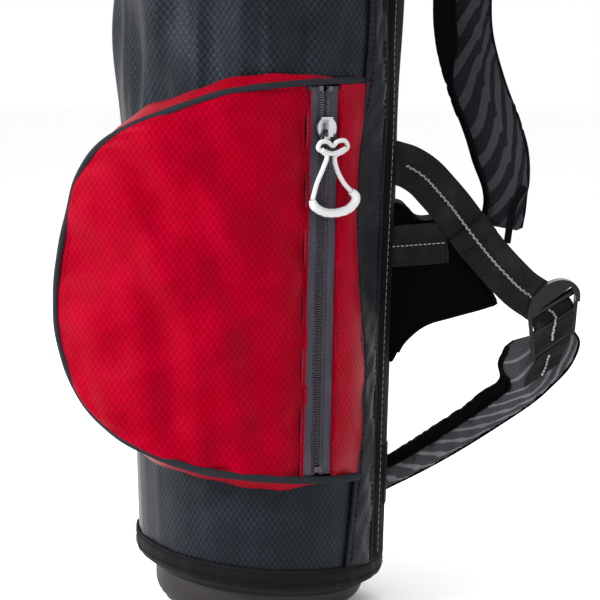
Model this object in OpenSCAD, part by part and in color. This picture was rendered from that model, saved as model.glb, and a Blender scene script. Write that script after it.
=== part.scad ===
// Junior golf stand bag: round fabric tube on a moulded base, one zipped ball pocket,
// padded double shoulder strap and two folding legs worked by a kick plate under the base.
// Millimetres. +Z up, the base rests on z = 0. -Y is the pocket side, +X is the spine with the straps.

/* [Shell] */
// overall height of the moulded rim
rim_h = 590; // [580:1:600]
// outer radius of the fabric tube at the floor
tube_r0 = 69.3; // [69:0.1:69.6]
// growth of the tube radius for each millimetre of height
tube_slope = 0.0322; // [0.0318:0.0001:0.0326]
// thickness of the padded fabric tube
tube_t = 2; // [1.6:0.1:2.4]
// outer radius of the moulded base
base_r = 60.5; // [60:0.1:61]
// wall of the moulded base
base_wall = 3; // [2.5:0.1:3.5]

/* [Pocket] */
// thickness of the pocket fabric
pocket_t = 1.8; // [1.4:0.1:2.2]
// height of the zip slider at rest
slider_z = 277; // [262:1:280]
// diameter of the cord on the zip pull
pull_d = 2.7; // [2.4:0.1:2.9]

/* [Harness] */
// width of the shoulder webbing
web_w = 25.4; // [24:0.1:26]
// width of the upper shoulder pad
pad_a_w = 33; // [30:1:34]

/* [Stand] */
// compass direction of the kick plate and push rod, from +X towards +Y
stand_az = 120; // [118:1:122]
// angle between each leg and the push rod
leg_spread = 24; // [24:1:24]
// diameter of the leg tubes
leg_d = 9; // [8:0.1:9.5]
// length from leg pivot to the foot tip
leg_len = 505; // [495:1:515]
// diameter of the push rod
rod_d = 5; // [4.6:0.1:5.4]

/* [Hidden] */

C_PLASTIC = [0.17, 0.16, 0.17];
C_BLACK = [0.08, 0.08, 0.09];
C_FABRIC = [0.22, 0.23, 0.28];
C_RED = [0.69, 0.03, 0.17];
C_METAL = [0.7, 0.7, 0.72];
C_WHITE = [0.95, 0.95, 0.96];
C_GREY = [0.42, 0.42, 0.44];

function tube_r(z) = tube_r0 + tube_slope * z;
function cr(a, b, c, d, t) = 0.5 * (2 * b + (c - a) * t + (2 * a - 5 * b + 4 * c - d) * t * t
  + (3 * b - a - 3 * c + d) * t * t * t);
function curve(p, n) = concat([for (i = [0 : len(p) - 2]) for (k = [0 : n - 1])
  cr(p[max(i - 1, 0)], p[i], p[i + 1], p[min(i + 2, len(p) - 1)], k / n)], [p[len(p) - 1]]);
function along(p, i) = p[min(i + 1, len(p) - 1)] - p[max(i - 1, 0)];
function side(p, i) = [-along(p, i)[1], along(p, i)[0]] / norm(along(p, i));
function shifted(p, w) = [for (i = [0 : len(p) - 1]) p[i] + side(p, i) * w];
function back(p) = [for (i = [len(p) - 1 : -1 : 0]) p[i]];
function band(p, a, b) = concat(shifted(p, a), back(shifted(p, b)));
function mix(a, b, t) = a + (b - a) * t;

// a tapered ring that hugs the fabric tube from z0 to z1, between two offsets from its outer face
module tube_shell(z0, z1, r_in, r_out, fn = 96) {
  rotate_extrude($fn = fn) polygon([[tube_r(z0) + r_in, z0], [tube_r(z0) + r_out, z0],
    [tube_r(z1) + r_out, z1], [tube_r(z1) + r_in, z1]]);
}

// the wedge of space between two compass directions
module sector(a0, a1, z0, z1, r = 130) {
  translate([0, 0, z0]) linear_extrude(z1 - z0)
    polygon(concat([[0, 0]], [for (k = [0 : 6]) r * [cos(mix(a0, a1, k / 6)), sin(mix(a0, a1, k / 6))]]));
}

// everything above the slanted plane of the bag's lower edge, which rises towards the stand side
edge_rise = 7.4;
edge_az = 137;
module above_edge(c) {
  translate([0, 0, c]) rotate([0, 0, edge_az]) rotate([0, -edge_rise, 0])
    translate([-450, -450, 0]) cube([900, 900, 900]);
}

module below_edge(c) {
  translate([0, 0, c]) rotate([0, 0, edge_az]) rotate([0, -edge_rise, 0])
    translate([-450, -450, -300]) cube([900, 900, 300]);
}

// a flat shape drawn in x and z, made solid between two values of y
module upright(y0, y1) {
  translate([0, y1, 0]) rotate([90, 0, 0]) linear_extrude(y1 - y0) children();
}

module bar(p, q, d, fn = 24) {
  v = q - p;
  translate(p) rotate([0, acos(v[2] / norm(v)), atan2(v[1], v[0])]) cylinder(h = norm(v), d = d, $fn = fn);
}

module bars(p, d, fn = 20) {
  for (i = [0 : len(p) - 2]) bar(p[i], p[i + 1], d, fn);
  for (q = p) translate(q) sphere(d = d, $fn = fn);
}

// a round cord swept along a list of points
function unit(v) = v / norm(v);
function sweep_points(p, r, n) = [for (i = [0 : len(p) - 1])
  let (t = unit(p[min(i + 1, len(p) - 1)] - p[max(i - 1, 0)]), u = unit(cross(t, [0, 1, 0])), v = cross(t, u))
  for (k = [0 : n - 1]) p[i] + r * (cos(k * 360 / n) * u + sin(k * 360 / n) * v)];
module sweep(p, d, n) {
  m = len(p);
  polyhedron(points = sweep_points(p, d / 2, n), faces = concat([[for (k = [0 : n - 1]) k]],
    [[for (k = [n - 1 : -1 : 0]) (m - 1) * n + k]],
    [for (i = [0 : m - 2]) for (k = [0 : n - 1]) [i * n + k, (i + 1) * n + k, (i + 1) * n + (k + 1) % n, i * n + (k + 1) % n]]));
}

// ---------------------------------------------------------------- shell
hinge_x = 5;
hinge_z = 6.5;
fold = 22;
base_round = 12;

module base_profile(r, fillet, inner = 0) {
  polygon(concat([[0, inner]], [for (k = [0 : 8]) [r - fillet + (fillet - inner) * sin(k * 11.25),
    fillet - (fillet - inner) * cos(k * 11.25)]],
    [[r - inner, 44], [68.4 - inner, 50], [68.4 - inner, 66 + inner], [0, 66 + inner]]));
}

// space under the slanted roof that the folded kick plate moves into
module wedge_space(lift) {
  rotate([0, 0, stand_az]) translate([hinge_x, 0, hinge_z - 0.4 + lift]) rotate([0, -fold, 0])
    translate([0, -80, -60]) cube([120, 160, 60]);
  rotate([0, 0, stand_az]) translate([hinge_x, -80, -60 + lift]) cube([120, 160, 60]);
}

module base_cup() {
  color(C_PLASTIC) difference() {
    rotate_extrude($fn = 96) base_profile(base_r, base_round);
    difference() {
      rotate_extrude($fn = 96) base_profile(base_r, base_round, base_wall);
      wedge_space(base_wall + 1);
      rotate([0, 0, stand_az]) translate([-3, -34, 0]) cube([14, 68, 15]);
    }
    wedge_space(0);
    rotate([0, 0, stand_az]) {
      translate([hinge_x, -20.4, hinge_z]) rotate([-90, 0, 0]) cylinder(h = 40.8, r = 4, $fn = 48);
      translate([hinge_x - 4, -20.4, -1]) cube([8, 40.8, hinge_z + 1]);
      translate([hinge_x, -29, hinge_z]) rotate([-90, 0, 0]) cylinder(h = 58, r = 1.5, $fn = 32);
    }
  }
}

module hinge_pin() {
  color(C_METAL) rotate([0, 0, stand_az]) translate([hinge_x, -28.6, hinge_z]) rotate([-90, 0, 0])
    cylinder(h = 57.2, r = 1.45, $fn = 32);
}

rod_foot = [84, 0, 10];
rod_top = [93, 0, 430];
rod_lean = atan2(rod_top[0] - rod_foot[0], rod_top[2] - rod_foot[2]);

module kick_plate() {
  color(C_PLASTIC) rotate([0, 0, stand_az]) difference() {
    union() {
      intersection() {
        rotate_extrude($fn = 96) polygon([[0, 0.4], [48, 0.4], [54, 2.4], [57.4, 5.4], [0, 5.4]]);
        translate([hinge_x + 5, -80, 0]) cube([80, 160, 5.4]);
      }
      translate([hinge_x, -20, hinge_z]) rotate([-90, 0, 0]) cylinder(h = 40, r = 3.5, $fn = 48);
      translate([hinge_x, -20, 3]) cube([8, 40, 2.4]);
      translate([50, -9, 0.4]) cube([38, 18, 3.4]);
      for (s = [-1, 1]) translate([0, s * 6 - 1.5, 0]) {
        translate([80, 0, 2]) cube([16.2, 3, 8.16]);
        for (x = [84, 92.2]) translate([x, 0, 10.16]) rotate([-90, 0, 0]) cylinder(h = 3, r = 4, $fn = 40);
        translate([84, 0, 6]) cube([8.2, 3, 8.16]);
      }
    }
    translate([hinge_x, -21, hinge_z]) rotate([-90, 0, 0]) cylinder(h = 42, r = 1.52, $fn = 32);
    // slot that lets the push rod's pin travel outwards as the plate folds
    for (k = [0 : 1]) translate([84 + k * 8.2, -10, 10.16]) rotate([-90, 0, 0]) cylinder(h = 20, r = 2.5, $fn = 32);
    translate([84, -10, 7.66]) cube([8.2, 20, 5]);
  }
}

module base_band() {
  color(C_BLACK) difference() {
    union() {
      intersection() {
        tube_shell(4, 75, 0.1, 1.3);
        above_edge(26.2);
        below_edge(36.6);
      }
      // the folded edge that turns in under the tube
      intersection() {
        rotate_extrude($fn = 96) polygon([[60.8, 2], [tube_r(40) + 1.3, 2], [tube_r(40) + 1.3, 60], [60.8, 60]]);
        above_edge(19);
        below_edge(26.2);
        difference() {
          translate([0, 0, -60]) cylinder(h = 200, r = 72, $fn = 96);
          translate([0, 0, 26.2]) rotate([0, 0, edge_az]) rotate([0, -edge_rise, 0]) translate([0, 0, -18.5])
            rotate_extrude($fn = 96) polygon([[62.6, 0], [90, 0], [90, 18.6], [73.2, 18.6]]);
        }
      }
    }
    cylinder(h = 90, r = base_r + 0.15, $fn = 96);
    // gap for the tongue of the kick plate
    rotate([0, 0, stand_az]) translate([55, -10, 0]) cube([30, 20, 32.5]);
  }
}

module body_sleeve() {
  color(C_FABRIC) intersection() {
    tube_shell(2, 572, -tube_t, 0, 120);
    above_edge(26.5);
  }
}

module stay_rods() {
  color(C_GREY) for (a = [62, 182, 302]) rotate([0, 0, a])
    bar([62.6, 0, 50.4], [77.9, 0, 566], 4.6, 20);
}

module top_collar() {
  color(C_PLASTIC) difference() {
    rotate_extrude($fn = 120) polygon([[80.5, 556], [84.6, 556], [85.4, 572.3], [89.6, 572.6], [90.6, 576],
      [90.6, 585], [89.8, 588], [87.6, rim_h], [83.6, rim_h], [81.4, 588], [80.5, 584]]);
  }
}

module collar_cuff() {
  color(C_BLACK) tube_shell(564, 572.2, 0.1, 1.3);
}

module divider_bars() {
  color(C_PLASTIC) {
    rotate([0, 0, 40]) bar([-80, 0, 574], [80, 0, 574], 12, 32);
    rotate([0, 0, 40]) bar([0, 6.2, 574], [0, 80, 574], 12, 32);
  }
}

module divider_panel() {
  color(C_FABRIC) intersection() {
    rotate([0, 0, 40]) union() {
      translate([-90, -0.8, 58]) cube([180, 1.6, 509.8]);
    }
    rotate_extrude($fn = 72) polygon([[0, 58], [57, 58], [75, 567.8], [0, 567.8]]);
  }
}

module collar_rivets() {
  color(C_METAL) for (a = [-170, -140, -80, -45, -15, 15, 45, 80, 172]) rotate([0, 0, a])
    translate([tube_r(568) + 1.35, 0, 568]) rotate([0, 90, 0]) {
      cylinder(h = 1.2, r = 3, $fn = 24);
      translate([0, 0, -4.8]) cylinder(h = 5, r = 1.4, $fn = 20);
    }
}

// ---------------------------------------------------------------- spine and carry handle
module spine_facing() {
  color(C_FABRIC) intersection() {
    tube_shell(10, 563, 0.1, 1.3);
    above_edge(37.2);
    union() {
      sector(-38, -24.3, 0, 600);
      sector(24.3, 38, 0, 600);
    }
  }
}

module spine_panel() {
  color(C_BLACK) intersection() {
    tube_shell(10, 563, 0.1, 1.6);
    above_edge(37.2);
    sector(-24, 24, 0, 600);
  }
}

handle_az = -90;
module handle_webbing() {
  outer = curve([[83.5, 372], [86, 384], [96, 402], [104, 425], [106, 448], [104, 471], [97, 492], [88.5, 506],
    [87.4, 520]], 5);
  color(C_BLACK) rotate([0, 0, handle_az]) difference() {
    upright(-12, 12) union() {
      polygon(band(outer, 0.9, -0.9));
    }
    translate([0, 0, 360]) cylinder(h = 170, r1 = tube_r(360) + 0.1, r2 = tube_r(530) + 0.1, $fn = 120);
  }
}

module handle_grip() {
  grip = curve([[101.8, 415], [104, 425], [106, 448], [104, 471], [101, 481]], 5);
  color(C_PLASTIC) rotate([0, 0, handle_az]) difference() {
    upright(-15, 15) polygon(band(grip, 4.6, -4.6));
    upright(-12.1, 12.1) polygon(band(curve([[96, 402], [104, 425], [106, 448], [104, 471], [97, 492]], 8), 1, -1));
  }
}

// ---------------------------------------------------------------- ball pocket
front_pts = [[66, -36], [59.5, -49.5], [47, -67.5], [36, -75], [25, -82.5], [4, -91.5], [-16, -95.5], [-40, -97.6],
  [-62, -95.2], [-84, -88.5], [-103, -80.5], [-112, -76]];
d_pts = [[70, 302], [40, 302], [10, 300], [-16, 296.5], [-40, 289], [-66, 279], [-84, 268], [-96, 252], [-102, 232],
  [-108, 205], [-110, 178], [-107, 155], [-97, 131], [-80, 113], [-58, 101], [-30, 91.5], [0, 86.5], [30, 83],
  [70, 80]];
front = curve(front_pts, 3);
d_line = curve(d_pts, 4);

module d_shape(grow) {
  polygon(concat(shifted(d_line, -grow), [[75, 80]]));
}

module plan_shape(inset) {
  polygon(concat(shifted(front, -inset), [[-73 + inset, -6], [0, 10], [60, -10]]));
}

module pocket_block(grow, inset, y0 = -115) {
  intersection() {
    upright(y0, 0) d_shape(grow);
    translate([0, 0, 60]) linear_extrude(260) plan_shape(inset);
  }
}

module tube_cut(extra) {
  translate([0, 0, 40]) cylinder(h = 300, r1 = tube_r(40) + extra, r2 = tube_r(340) + extra, $fn = 120);
}

module front_band(r_out, r_in, z0 = 60, z1 = 320) {
  translate([0, 0, z0]) linear_extrude(z1 - z0) polygon(band(front, r_out, -r_in));
}

zip_mid = [36, -75, 0];
zip_turn = 34.3;
zip_lean = 1.44;
zip_ref = 232;
module zip_frame(z = 0) {
  translate(zip_mid + [0, 0, zip_ref]) rotate([0, 0, zip_turn]) rotate([0, zip_lean, 0])
    translate([0, 0, z - zip_ref]) children();
}

module pocket_half(right) {
  difference() {
    intersection() {
      front_band(0, pocket_t);
      upright(-115, 0) d_shape(-0.05);
      zip_frame(60) translate([right ? 12.8 : -230, -60, 0]) cube([right ? 60 : 217.2, 120, 260]);
    }
    tube_cut(0.2);
  }
}

module pocket_face() { color(C_RED) pocket_half(false); }

module pocket_strip() {
  color(C_RED) intersection() {
    pocket_half(true);
    sector(-75, -39, 60, 320);
  }
}

module pocket_gusset() {
  color(C_RED) difference() {
    pocket_block(0, pocket_t + 0.15);
    pocket_block(-pocket_t, 2 * pocket_t + 0.15);
    // the inside of the front opens straight through the gusset
    intersection() {
      upright(-115, 0) d_shape(-pocket_t);
      translate([0, 0, 60]) linear_extrude(260) polygon(concat(shifted(front, 0.5 - pocket_t),
        [[-100, -70], [-60, -30], [60, -20]]));
    }
    tube_cut(0.15);
    zip_frame(60) translate([-14, -6, 0]) cube([28, 9, 260]);
    sector(-39, 20, 60, 320);
  }
}

module pocket_piping() {
  color(C_FABRIC) intersection() {
    front_band(2.6, -0.15);
    difference() {
      upright(-115, 0) d_shape(1.6);
      upright(-116, 1) d_shape(-1.8);
    }
    union() {
      sector(-178, -39, 60, 320, 200);
    }
    difference() {
      translate([-150, -150, 60]) cube([300, 150, 260]);
      zip_frame(60) translate([-8, -20, 0]) cube([16, 30, 260]);
      tube_cut(0.2);
    }
  }
}

zip_lo = 86;
zip_hi = 300;
module zip_tapes() {
  color(C_GREY) zip_frame() for (s = [-1, 1]) translate([s * 7.35 - 5.25, 1.3, zip_lo]) cube([10.5, 0.8, zip_hi - zip_lo]);
}

module zip_coil() {
  color(C_GREY) zip_frame() {
    for (s = [-1, 1]) {
      translate([s * 1.1, 0, zip_lo + 4]) cylinder(h = slider_z - zip_lo - 11, r = 1.15, $fn = 20);
      translate([s * 3.2, 0, slider_z + 8]) cylinder(h = zip_hi - slider_z - 11, r = 1.15, $fn = 20);
    }
    translate([-3.7, -0.4, slider_z - 7]) cube([7.4, 0.8, 15.5]);
  }
}

module zip_stops() {
  color(C_METAL) zip_frame() {
    translate([-2.6, -1.5, zip_lo + 0.5]) cube([5.2, 2.7, 3.2]);
    for (s = [-1, 1]) translate([s * 3.2 - 1.3, -1.5, zip_hi - 2.8]) cube([2.6, 2.7, 2.6]);
  }
}

module zip_slider() {
  color(C_METAL) zip_frame(slider_z) {
    difference() {
      union() {
        translate([0, -1.7, 0]) rotate([90, 0, 0]) linear_extrude(1.5) union() {
          square([7.6, 12], center = true);
          intersection() {
            circle(r = 6.25, $fn = 64);
            translate([0, 0.2]) square([13, 10.6], center = true);
          }
        }
        for (s = [-1, 1]) translate([s * 5.2 - 0.6, -3.2, -2.2]) cube([1.2, 3, 4.4]);
        translate([-1.6, -6.9, -4.6]) cube([3.2, 4, 9.2]);
      }
      translate([-3, -5.6, -3.2]) cube([6, 2.5, 6]);
    }
  }
}

ring_at = [0, -4.4, -2.2];
module slider_ring() {
  color(C_PLASTIC) zip_frame(slider_z) translate(ring_at + [0, 0, -2.9]) rotate([90, 0, 0])
    union() {
      rotate_extrude($fn = 40) translate([3.6, 0]) circle(r = 0.75, $fn = 16);
      translate([-2.4, 3.6, 0]) rotate([0, 90, 0]) cylinder(h = 4.8, r = 0.75, $fn = 24);
    }
}

pull_y = -5.2 - pull_d / 2;
module pull_cord() {
  path = curve([[-11.2, -38.6], [-8.6, -30], [-4.6, -21.6], [-2.2, -15.4], [-5, -12.8], [-8.2, -10.6], [-6.4, -7.4],
    [-2, -7.4], [1.4, -9.6], [4.8, -7.2], [9.4, -7], [11.4, -10.4], [8, -13], [3, -15.6], [4.6, -22.6], [9, -29.6],
    [14.2, -34.6]], 4);
  color(C_WHITE) zip_frame(slider_z) sweep([for (p = path) [p[0], pull_y, p[1]]], pull_d, 10);
}

module pull_grip() {
  path = curve([[-11.3, -39], [-9.6, -42.4], [-3.5, -45.6], [4.5, -46.4], [12.5, -44.8], [17.2, -41], [17.6, -37.6],
    [14.5, -34.9]], 3);
  color(C_WHITE) zip_frame(slider_z) sweep([for (p = path) [p[0], pull_y, p[1]]], 4.9, 12);
}

// ---------------------------------------------------------------- harness
web_y = -12.4;
module hip_pad() {
  color(C_BLACK) difference() {
    upright(-8, 46) polygon([[70, 232], [78, 231], [93, 221], [108, 221], [115, 210], [122, 198], [137, 175.5], [133, 171.5],
      [112, 165.5], [96, 160.5], [84, 150.5], [76, 138], [70, 136]]);
    translate([0, 0, 100]) cylinder(h = 180, r1 = tube_r(100) + 1.8, r2 = tube_r(280) + 1.8, $fn = 96);
    translate([120, 30, 100]) rotate([0, 0, 30]) cube([60, 60, 200]);
  }
}

module hip_webbing() {
  color(C_BLACK) upright(-9.8, -8.2) polygon([[81.5, 218], [81, 206], [108, 196], [109, 213.5], [104, 213.8]]);
}

function web_path() = curve([[84, 252], [93, 248], [105, 237], [117, 223.5], [128, 208.5], [140, 195.5], [150.5, 182.5]], 5);
module shoulder_webbing() {
  color(C_BLACK) difference() {
    union() {
      upright(web_y, web_y + 1.8) intersection() {
        polygon(band(web_path(), web_w / 2, -web_w / 2));
        translate([75, 100]) square([100, 200]);
      }
      // end that wraps round the edge of the spine and is sewn down
      upright(web_y, -1) polygon([[82.9, 262], [86.5, 262], [86.5, 240], [82.9, 240]]);
    }
    translate([0, 0, 200]) cylinder(h = 100, r1 = tube_r(200) + 1.75, r2 = tube_r(300) + 1.75, $fn = 96);
  }
}

// seen edge on its bars rise to the right, and its two rails hang almost upright
module ladder_lock() {
  hood = curve([[155.6, 167], [155.9, 172], [158.2, 177.6], [162.6, 182.4], [168, 185.8], [174, 187.2], [179.6, 185.6],
    [182.6, 181.6], [182.7, 176]], 4);
  color(C_PLASTIC) translate([0, -14, 0]) {
    upright(-2.6, 2.6) {
      polygon(band([[155.5, 171], [158.4, 140.6]], 1.1, -1.1));
      polygon(band([[182.7, 180], [180.7, 156]], 1.1, -1.1));
    }
    for (p = [[158.2, 142.8, 180.8, 158.4], [157.1, 154.6, 181.7, 170.8], [156.1, 166, 182.5, 182.4]])
      bar([p[0], 0, p[1]], [p[2], 0, p[3]], 4.2, 32);
    // curved hood for the thumb, with its wide lip
    upright(-9.5, 2.6) polygon(band(hood, 1.2, -1.2));
    upright(-9.5, -7.9) polygon(concat(hood, [[178.6, 184.4], [174.6, 181.4], [169.6, 177.6], [162.8, 172.8], [158, 168]]));
  }
}

function pad_a_path() = curve([[140, 219], [142, 232], [141, 249], [135, 272], [125.5, 298], [118.5, 324], [117, 347],
  [119, 376], [122, 408], [121, 442], [114, 478], [107, 497]], 5);
module upper_pad() {
  color(C_GREY) upright(-10, 0) polygon(band(pad_a_path(), pad_a_w / 2, -pad_a_w / 2));
}

module upper_backing() {
  color(C_BLACK) upright(0.15, 4) polygon(band(pad_a_path(), pad_a_w / 2 - 1, -pad_a_w / 2 + 1));
}

module upper_webbing() {
  color(C_BLACK) difference() {
    upright(-15.5, 9.5) polygon(band(curve([[107.4, 499.8], [101, 515], [94.5, 530], [91, 545], [90.1, 560]], 4), 0.9, -0.9));
    translate([0, 0, 490]) cylinder(h = 100, r1 = tube_r(490) + 1.75, r2 = tube_r(590) + 1.75, $fn = 96);
  }
}

module upper_anchor() {
  color(C_PLASTIC) translate([92.5, -3, 552]) rotate([0, 90 + 3.4, 0]) linear_extrude(2) union() {
    square([15, 18], center = true);
    for (s = [-1, 1]) translate([0, s * 9]) circle(r = 7.5, $fn = 32);
  }
}

// black tab under the lower end of the upper pad, joined to the diagonal webbing
module upper_tail() {
  color(C_BLACK) upright(-12.3, -10.3) polygon([[151, 240], [155.5, 240], [154, 226], [149.6, 215], [145, 215], [149.4, 228]]);
}

pad_b_out = curve([[181, 158], [185.4, 150], [180, 136.5], [169, 124.5], [159, 115.6], [143, 104.5], [118, 88.5], [96, 76], [70, 63]], 4);
pad_b_in = curve([[143, 147.5], [138.8, 137.5], [139.4, 128], [128, 119], [117, 110.5], [95, 96], [70, 81]], 4);
module lower_cut() {
  translate([0, 0, 40]) cylinder(h = 80, r1 = tube_r(40) + 3.2, r2 = tube_r(120) + 3.2, $fn = 96);
}

module lower_pad() {
  color(C_GREY) difference() {
    upright(-10, 0) polygon(concat(pad_b_out, back(pad_b_in)));
    lower_cut();
  }
}

module lower_backing() {
  color(C_BLACK) difference() {
    upright(0.15, 4) polygon(concat(shifted(pad_b_out, -1), back(shifted(pad_b_in, 1))));
    lower_cut();
  }
}

module lower_loop() {
  color(C_BLACK) upright(-12.6, -10.2) polygon([[152.8, 125.8], [174.2, 139.6], [174.4, 149], [153.4, 134.6]]);
}

module lower_anchor() {
  color(C_BLACK) intersection() {
    tube_shell(56, 92, 1.7, 3.1);
    sector(-12, 14, 40, 120);
  }
}

// ---------------------------------------------------------------- stand
pivot = [94, 0, 556];
foot_in = 78.5;
leg_tilt = asin((pivot[0] - foot_in) / 480);
pin_down = 74;
stud = pivot + pin_down * [-sin(leg_tilt), 0, -cos(leg_tilt)];
yoke_z = 408.41;
rod_r_yoke = rod_foot[0] + (yoke_z - rod_foot[2]) * tan(rod_lean);
yoke_x = rod_r_yoke * cos(leg_spread);
yoke_t = rod_r_yoke * sin(leg_spread);
arm_dir = atan2(stud[0] - yoke_x, stud[2] - yoke_z);

// places a part drawn for the left leg on either side
module leg_frame(s) {
  rotate([0, 0, stand_az + s * leg_spread]) mirror([0, s > 0 ? 0 : 1, 0]) children();
}

module on_leg(d) {
  translate(pivot) rotate([0, leg_tilt, 0]) translate([0, 0, -d]) children();
}

module leg_bracket() {
  color(C_PLASTIC) difference() {
    intersection() {
      translate([0, 0, 545]) difference() {
        cylinder(h = 17.6, r = 102, $fn = 120);
        translate([0, 0, -1]) cylinder(h = 30, r1 = tube_r(544) + 0.12, r2 = tube_r(574) + 0.12, $fn = 120);
      }
      sector(stand_az - leg_spread - 10, stand_az + leg_spread + 10, 540, 570);
    }
    for (s = [-1, 1]) leg_frame(s) {
      translate([88.6, -5.6, 500]) cube([40, 11.2, 100]);
      translate([pivot[0], -11.2, pivot[2]]) rotate([-90, 0, 0]) cylinder(h = 22.4, r = 2.05, $fn = 32);
    }
    rotate([0, 0, stand_az]) translate([97, -24, 540]) cube([20, 48, 40]);
  }
}

module leg_pins() {
  color(C_METAL) for (s = [-1, 1]) leg_frame(s) translate([pivot[0], -11, pivot[2]]) rotate([-90, 0, 0])
    cylinder(h = 22, r = 2, $fn = 32);
}

module leg(s) {
  color(C_METAL) leg_frame(s) on_leg(leg_len - 22) difference() {
    cylinder(h = leg_len - 34, d = leg_d, $fn = 40);
    translate([0, 0, -1]) cylinder(h = leg_len, d = leg_d - 1.6, $fn = 40);
  }
}
module leg_left() { leg(1); }
module leg_right() { leg(-1); }

module knuckle(s) {
  color(C_PLASTIC) leg_frame(s) difference() {
    union() {
      translate([pivot[0], -5, pivot[2]]) rotate([-90, 0, 0]) cylinder(h = 10, r = 5.2, $fn = 40);
      on_leg(24) cylinder(h = 20, d = leg_d - 1.64, $fn = 40);
      on_leg(11.9) cylinder(h = 8, d = leg_d, $fn = 40);
    }
    translate([pivot[0], -6, pivot[2]]) rotate([-90, 0, 0]) cylinder(h = 12, r = 2.06, $fn = 32);
  }
}
module knuckle_left() { knuckle(1); }
module knuckle_right() { knuckle(-1); }

module foot(s) {
  color(C_BLACK) leg_frame(s) on_leg(leg_len) difference() {
    union() {
      translate([0, 0, 5.9]) cylinder(h = 36, r = 5.8, $fn = 40);
      translate([0, 0, 5.8]) sphere(r = 5.8, $fn = 40);
      for (z = [12, 17, 22]) translate([0, 0, z]) cylinder(h = 2, r = 6.3, $fn = 40);
    }
    translate([0, 0, 21.95]) cylinder(h = 30, d = leg_d + 0.06, $fn = 40);
  }
}
module foot_left() { foot(1); }
module foot_right() { foot(-1); }

module clip(s) {
  color(C_PLASTIC) leg_frame(s) {
    on_leg(pin_down + 6) difference() {
      cylinder(h = 12, r = leg_d / 2 + 1.8, $fn = 40);
      translate([0, 0, -1]) cylinder(h = 14, d = leg_d + 0.06, $fn = 40);
    }
    translate([stud[0], -13.6, stud[2]]) rotate([-90, 0, 0]) {
      cylinder(h = 7.6, r = 2, $fn = 32);
      cylinder(h = 1.4, r = 5.6, $fn = 40);
    }
  }
}
module clip_left() { clip(1); }
module clip_right() { clip(-1); }

// wire arm: a round eye on the yoke and a long eye round the stud on the leg
module arm(s) {
  y0 = -yoke_t + 9.5;
  y1 = -9.6;
  eye_c = [-2, 0, -4];
  color(C_METAL) leg_frame(s) difference() {
    union() {
      translate([yoke_x, y0 - 1.5, yoke_z]) rotate([-90, 0, 0]) cylinder(h = 3, r = 4.2, $fn = 40);
      translate([stud[0], y1, stud[2]]) rotate([0, arm_dir, 0]) {
        upright(-1.5, 1.5) translate([1.28, -3.05]) union() {
          square([12.6, 11], center = true);
          for (k = [-1, 1]) translate([0, k * 3.4]) circle(r = 6.3, $fn = 40);
        }
      }
      bar([yoke_x + 3.6 * sin(arm_dir), y0, yoke_z + 3.6 * cos(arm_dir)],
        [stud[0] - 12 * sin(arm_dir), y1, stud[2] - 12 * cos(arm_dir)], 3.4, 24);
    }
    translate([yoke_x, y0 - 4, yoke_z]) rotate([-90, 0, 0]) cylinder(h = 8, r = 2.05, $fn = 32);
    translate([stud[0], y1, stud[2]]) rotate([0, arm_dir, 0]) upright(-4, 4) translate([1.28, -3.05]) union() {
      square([7.6, 6.6], center = true);
      for (k = [-1, 1]) translate([0, k * 3.3]) circle(r = 3.8, $fn = 40);
    }
  }
}
module arm_left() { arm(1); }
module arm_right() { arm(-1); }

module push_rod() {
  color(C_METAL) rotate([0, 0, stand_az]) difference() {
    union() {
      bar(rod_foot + [0, 0, 3], rod_top, rod_d, 32);
      translate([rod_foot[0], -3.6, rod_foot[2]]) rotate([-90, 0, 0]) cylinder(h = 7.2, r = 4.4, $fn = 40);
    }
    translate([rod_foot[0], -6, rod_foot[2]]) rotate([-90, 0, 0]) cylinder(h = 12, r = 1.95, $fn = 32);
  }
}

module rod_pin() {
  color(C_METAL) rotate([0, 0, stand_az]) translate([rod_foot[0], -8.6, rod_foot[2]]) rotate([-90, 0, 0])
    cylinder(h = 17.2, r = 1.9, $fn = 32);
}

module rod_yoke() {
  color(C_PLASTIC) {
    rotate([0, 0, stand_az]) difference() {
      translate([rod_r_yoke, 0, yoke_z]) rotate([0, rod_lean, 0]) translate([0, 0, -8])
        cylinder(h = 16, r = 5, $fn = 40);
      bar(rod_foot, rod_top, rod_d + 0.06, 32);
    }
    for (s = [-1, 1]) leg_frame(s) translate([yoke_x, -yoke_t, yoke_z]) rotate([-90, 0, 0]) {
      translate([0, 0, 4]) cylinder(h = 8.6, r = 2, $fn = 32);
      translate([0, 0, 11.6]) cylinder(h = 1.2, r = 3.4, $fn = 32);
      translate([0, 0, 4.2]) cylinder(h = 3.2, r = 3.4, $fn = 32);
    }
  }
}

module rod_guides() {
  color(C_PLASTIC) rotate([0, 0, stand_az]) difference() {
    for (z = [120, 320]) {
      r = rod_foot[0] + (z - rod_foot[2]) * tan(rod_lean);
      translate([r, 0, z - 6]) cylinder(h = 12, r = 5, $fn = 40);
      translate([tube_r(z) - 2, -5, z - 6]) cube([r - tube_r(z) + 2, 10, 12]);
      translate([tube_r(z) - 4, -14, z - 10]) cube([6, 28, 20]);
    }
    bar(rod_foot, rod_top, rod_d + 0.14, 32);
    translate([0, 0, 60]) cylinder(h = 300, r1 = tube_r(60) + 0.12, r2 = tube_r(360) + 0.12, $fn = 120);
  }
}

// ---------------------------------------------------------------- towel ring
towel_az = 62;
module towel_tab() {
  color(C_BLACK) rotate([0, 0, towel_az]) difference() {
    union() {
      upright(-9, 9) polygon([[85, 510], [87.3, 510], [90.6, 485], [90.6, 480], [85, 478]]);
    }
    translate([0, 0, 400]) cylinder(h = 150, r1 = tube_r(400) + 0.12, r2 = tube_r(550) + 0.12, $fn = 120);
    translate([88.1, -12, 482.6]) rotate([-90, 0, 0]) cylinder(h = 24, r = 1.56, $fn = 32);
  }
}

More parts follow.
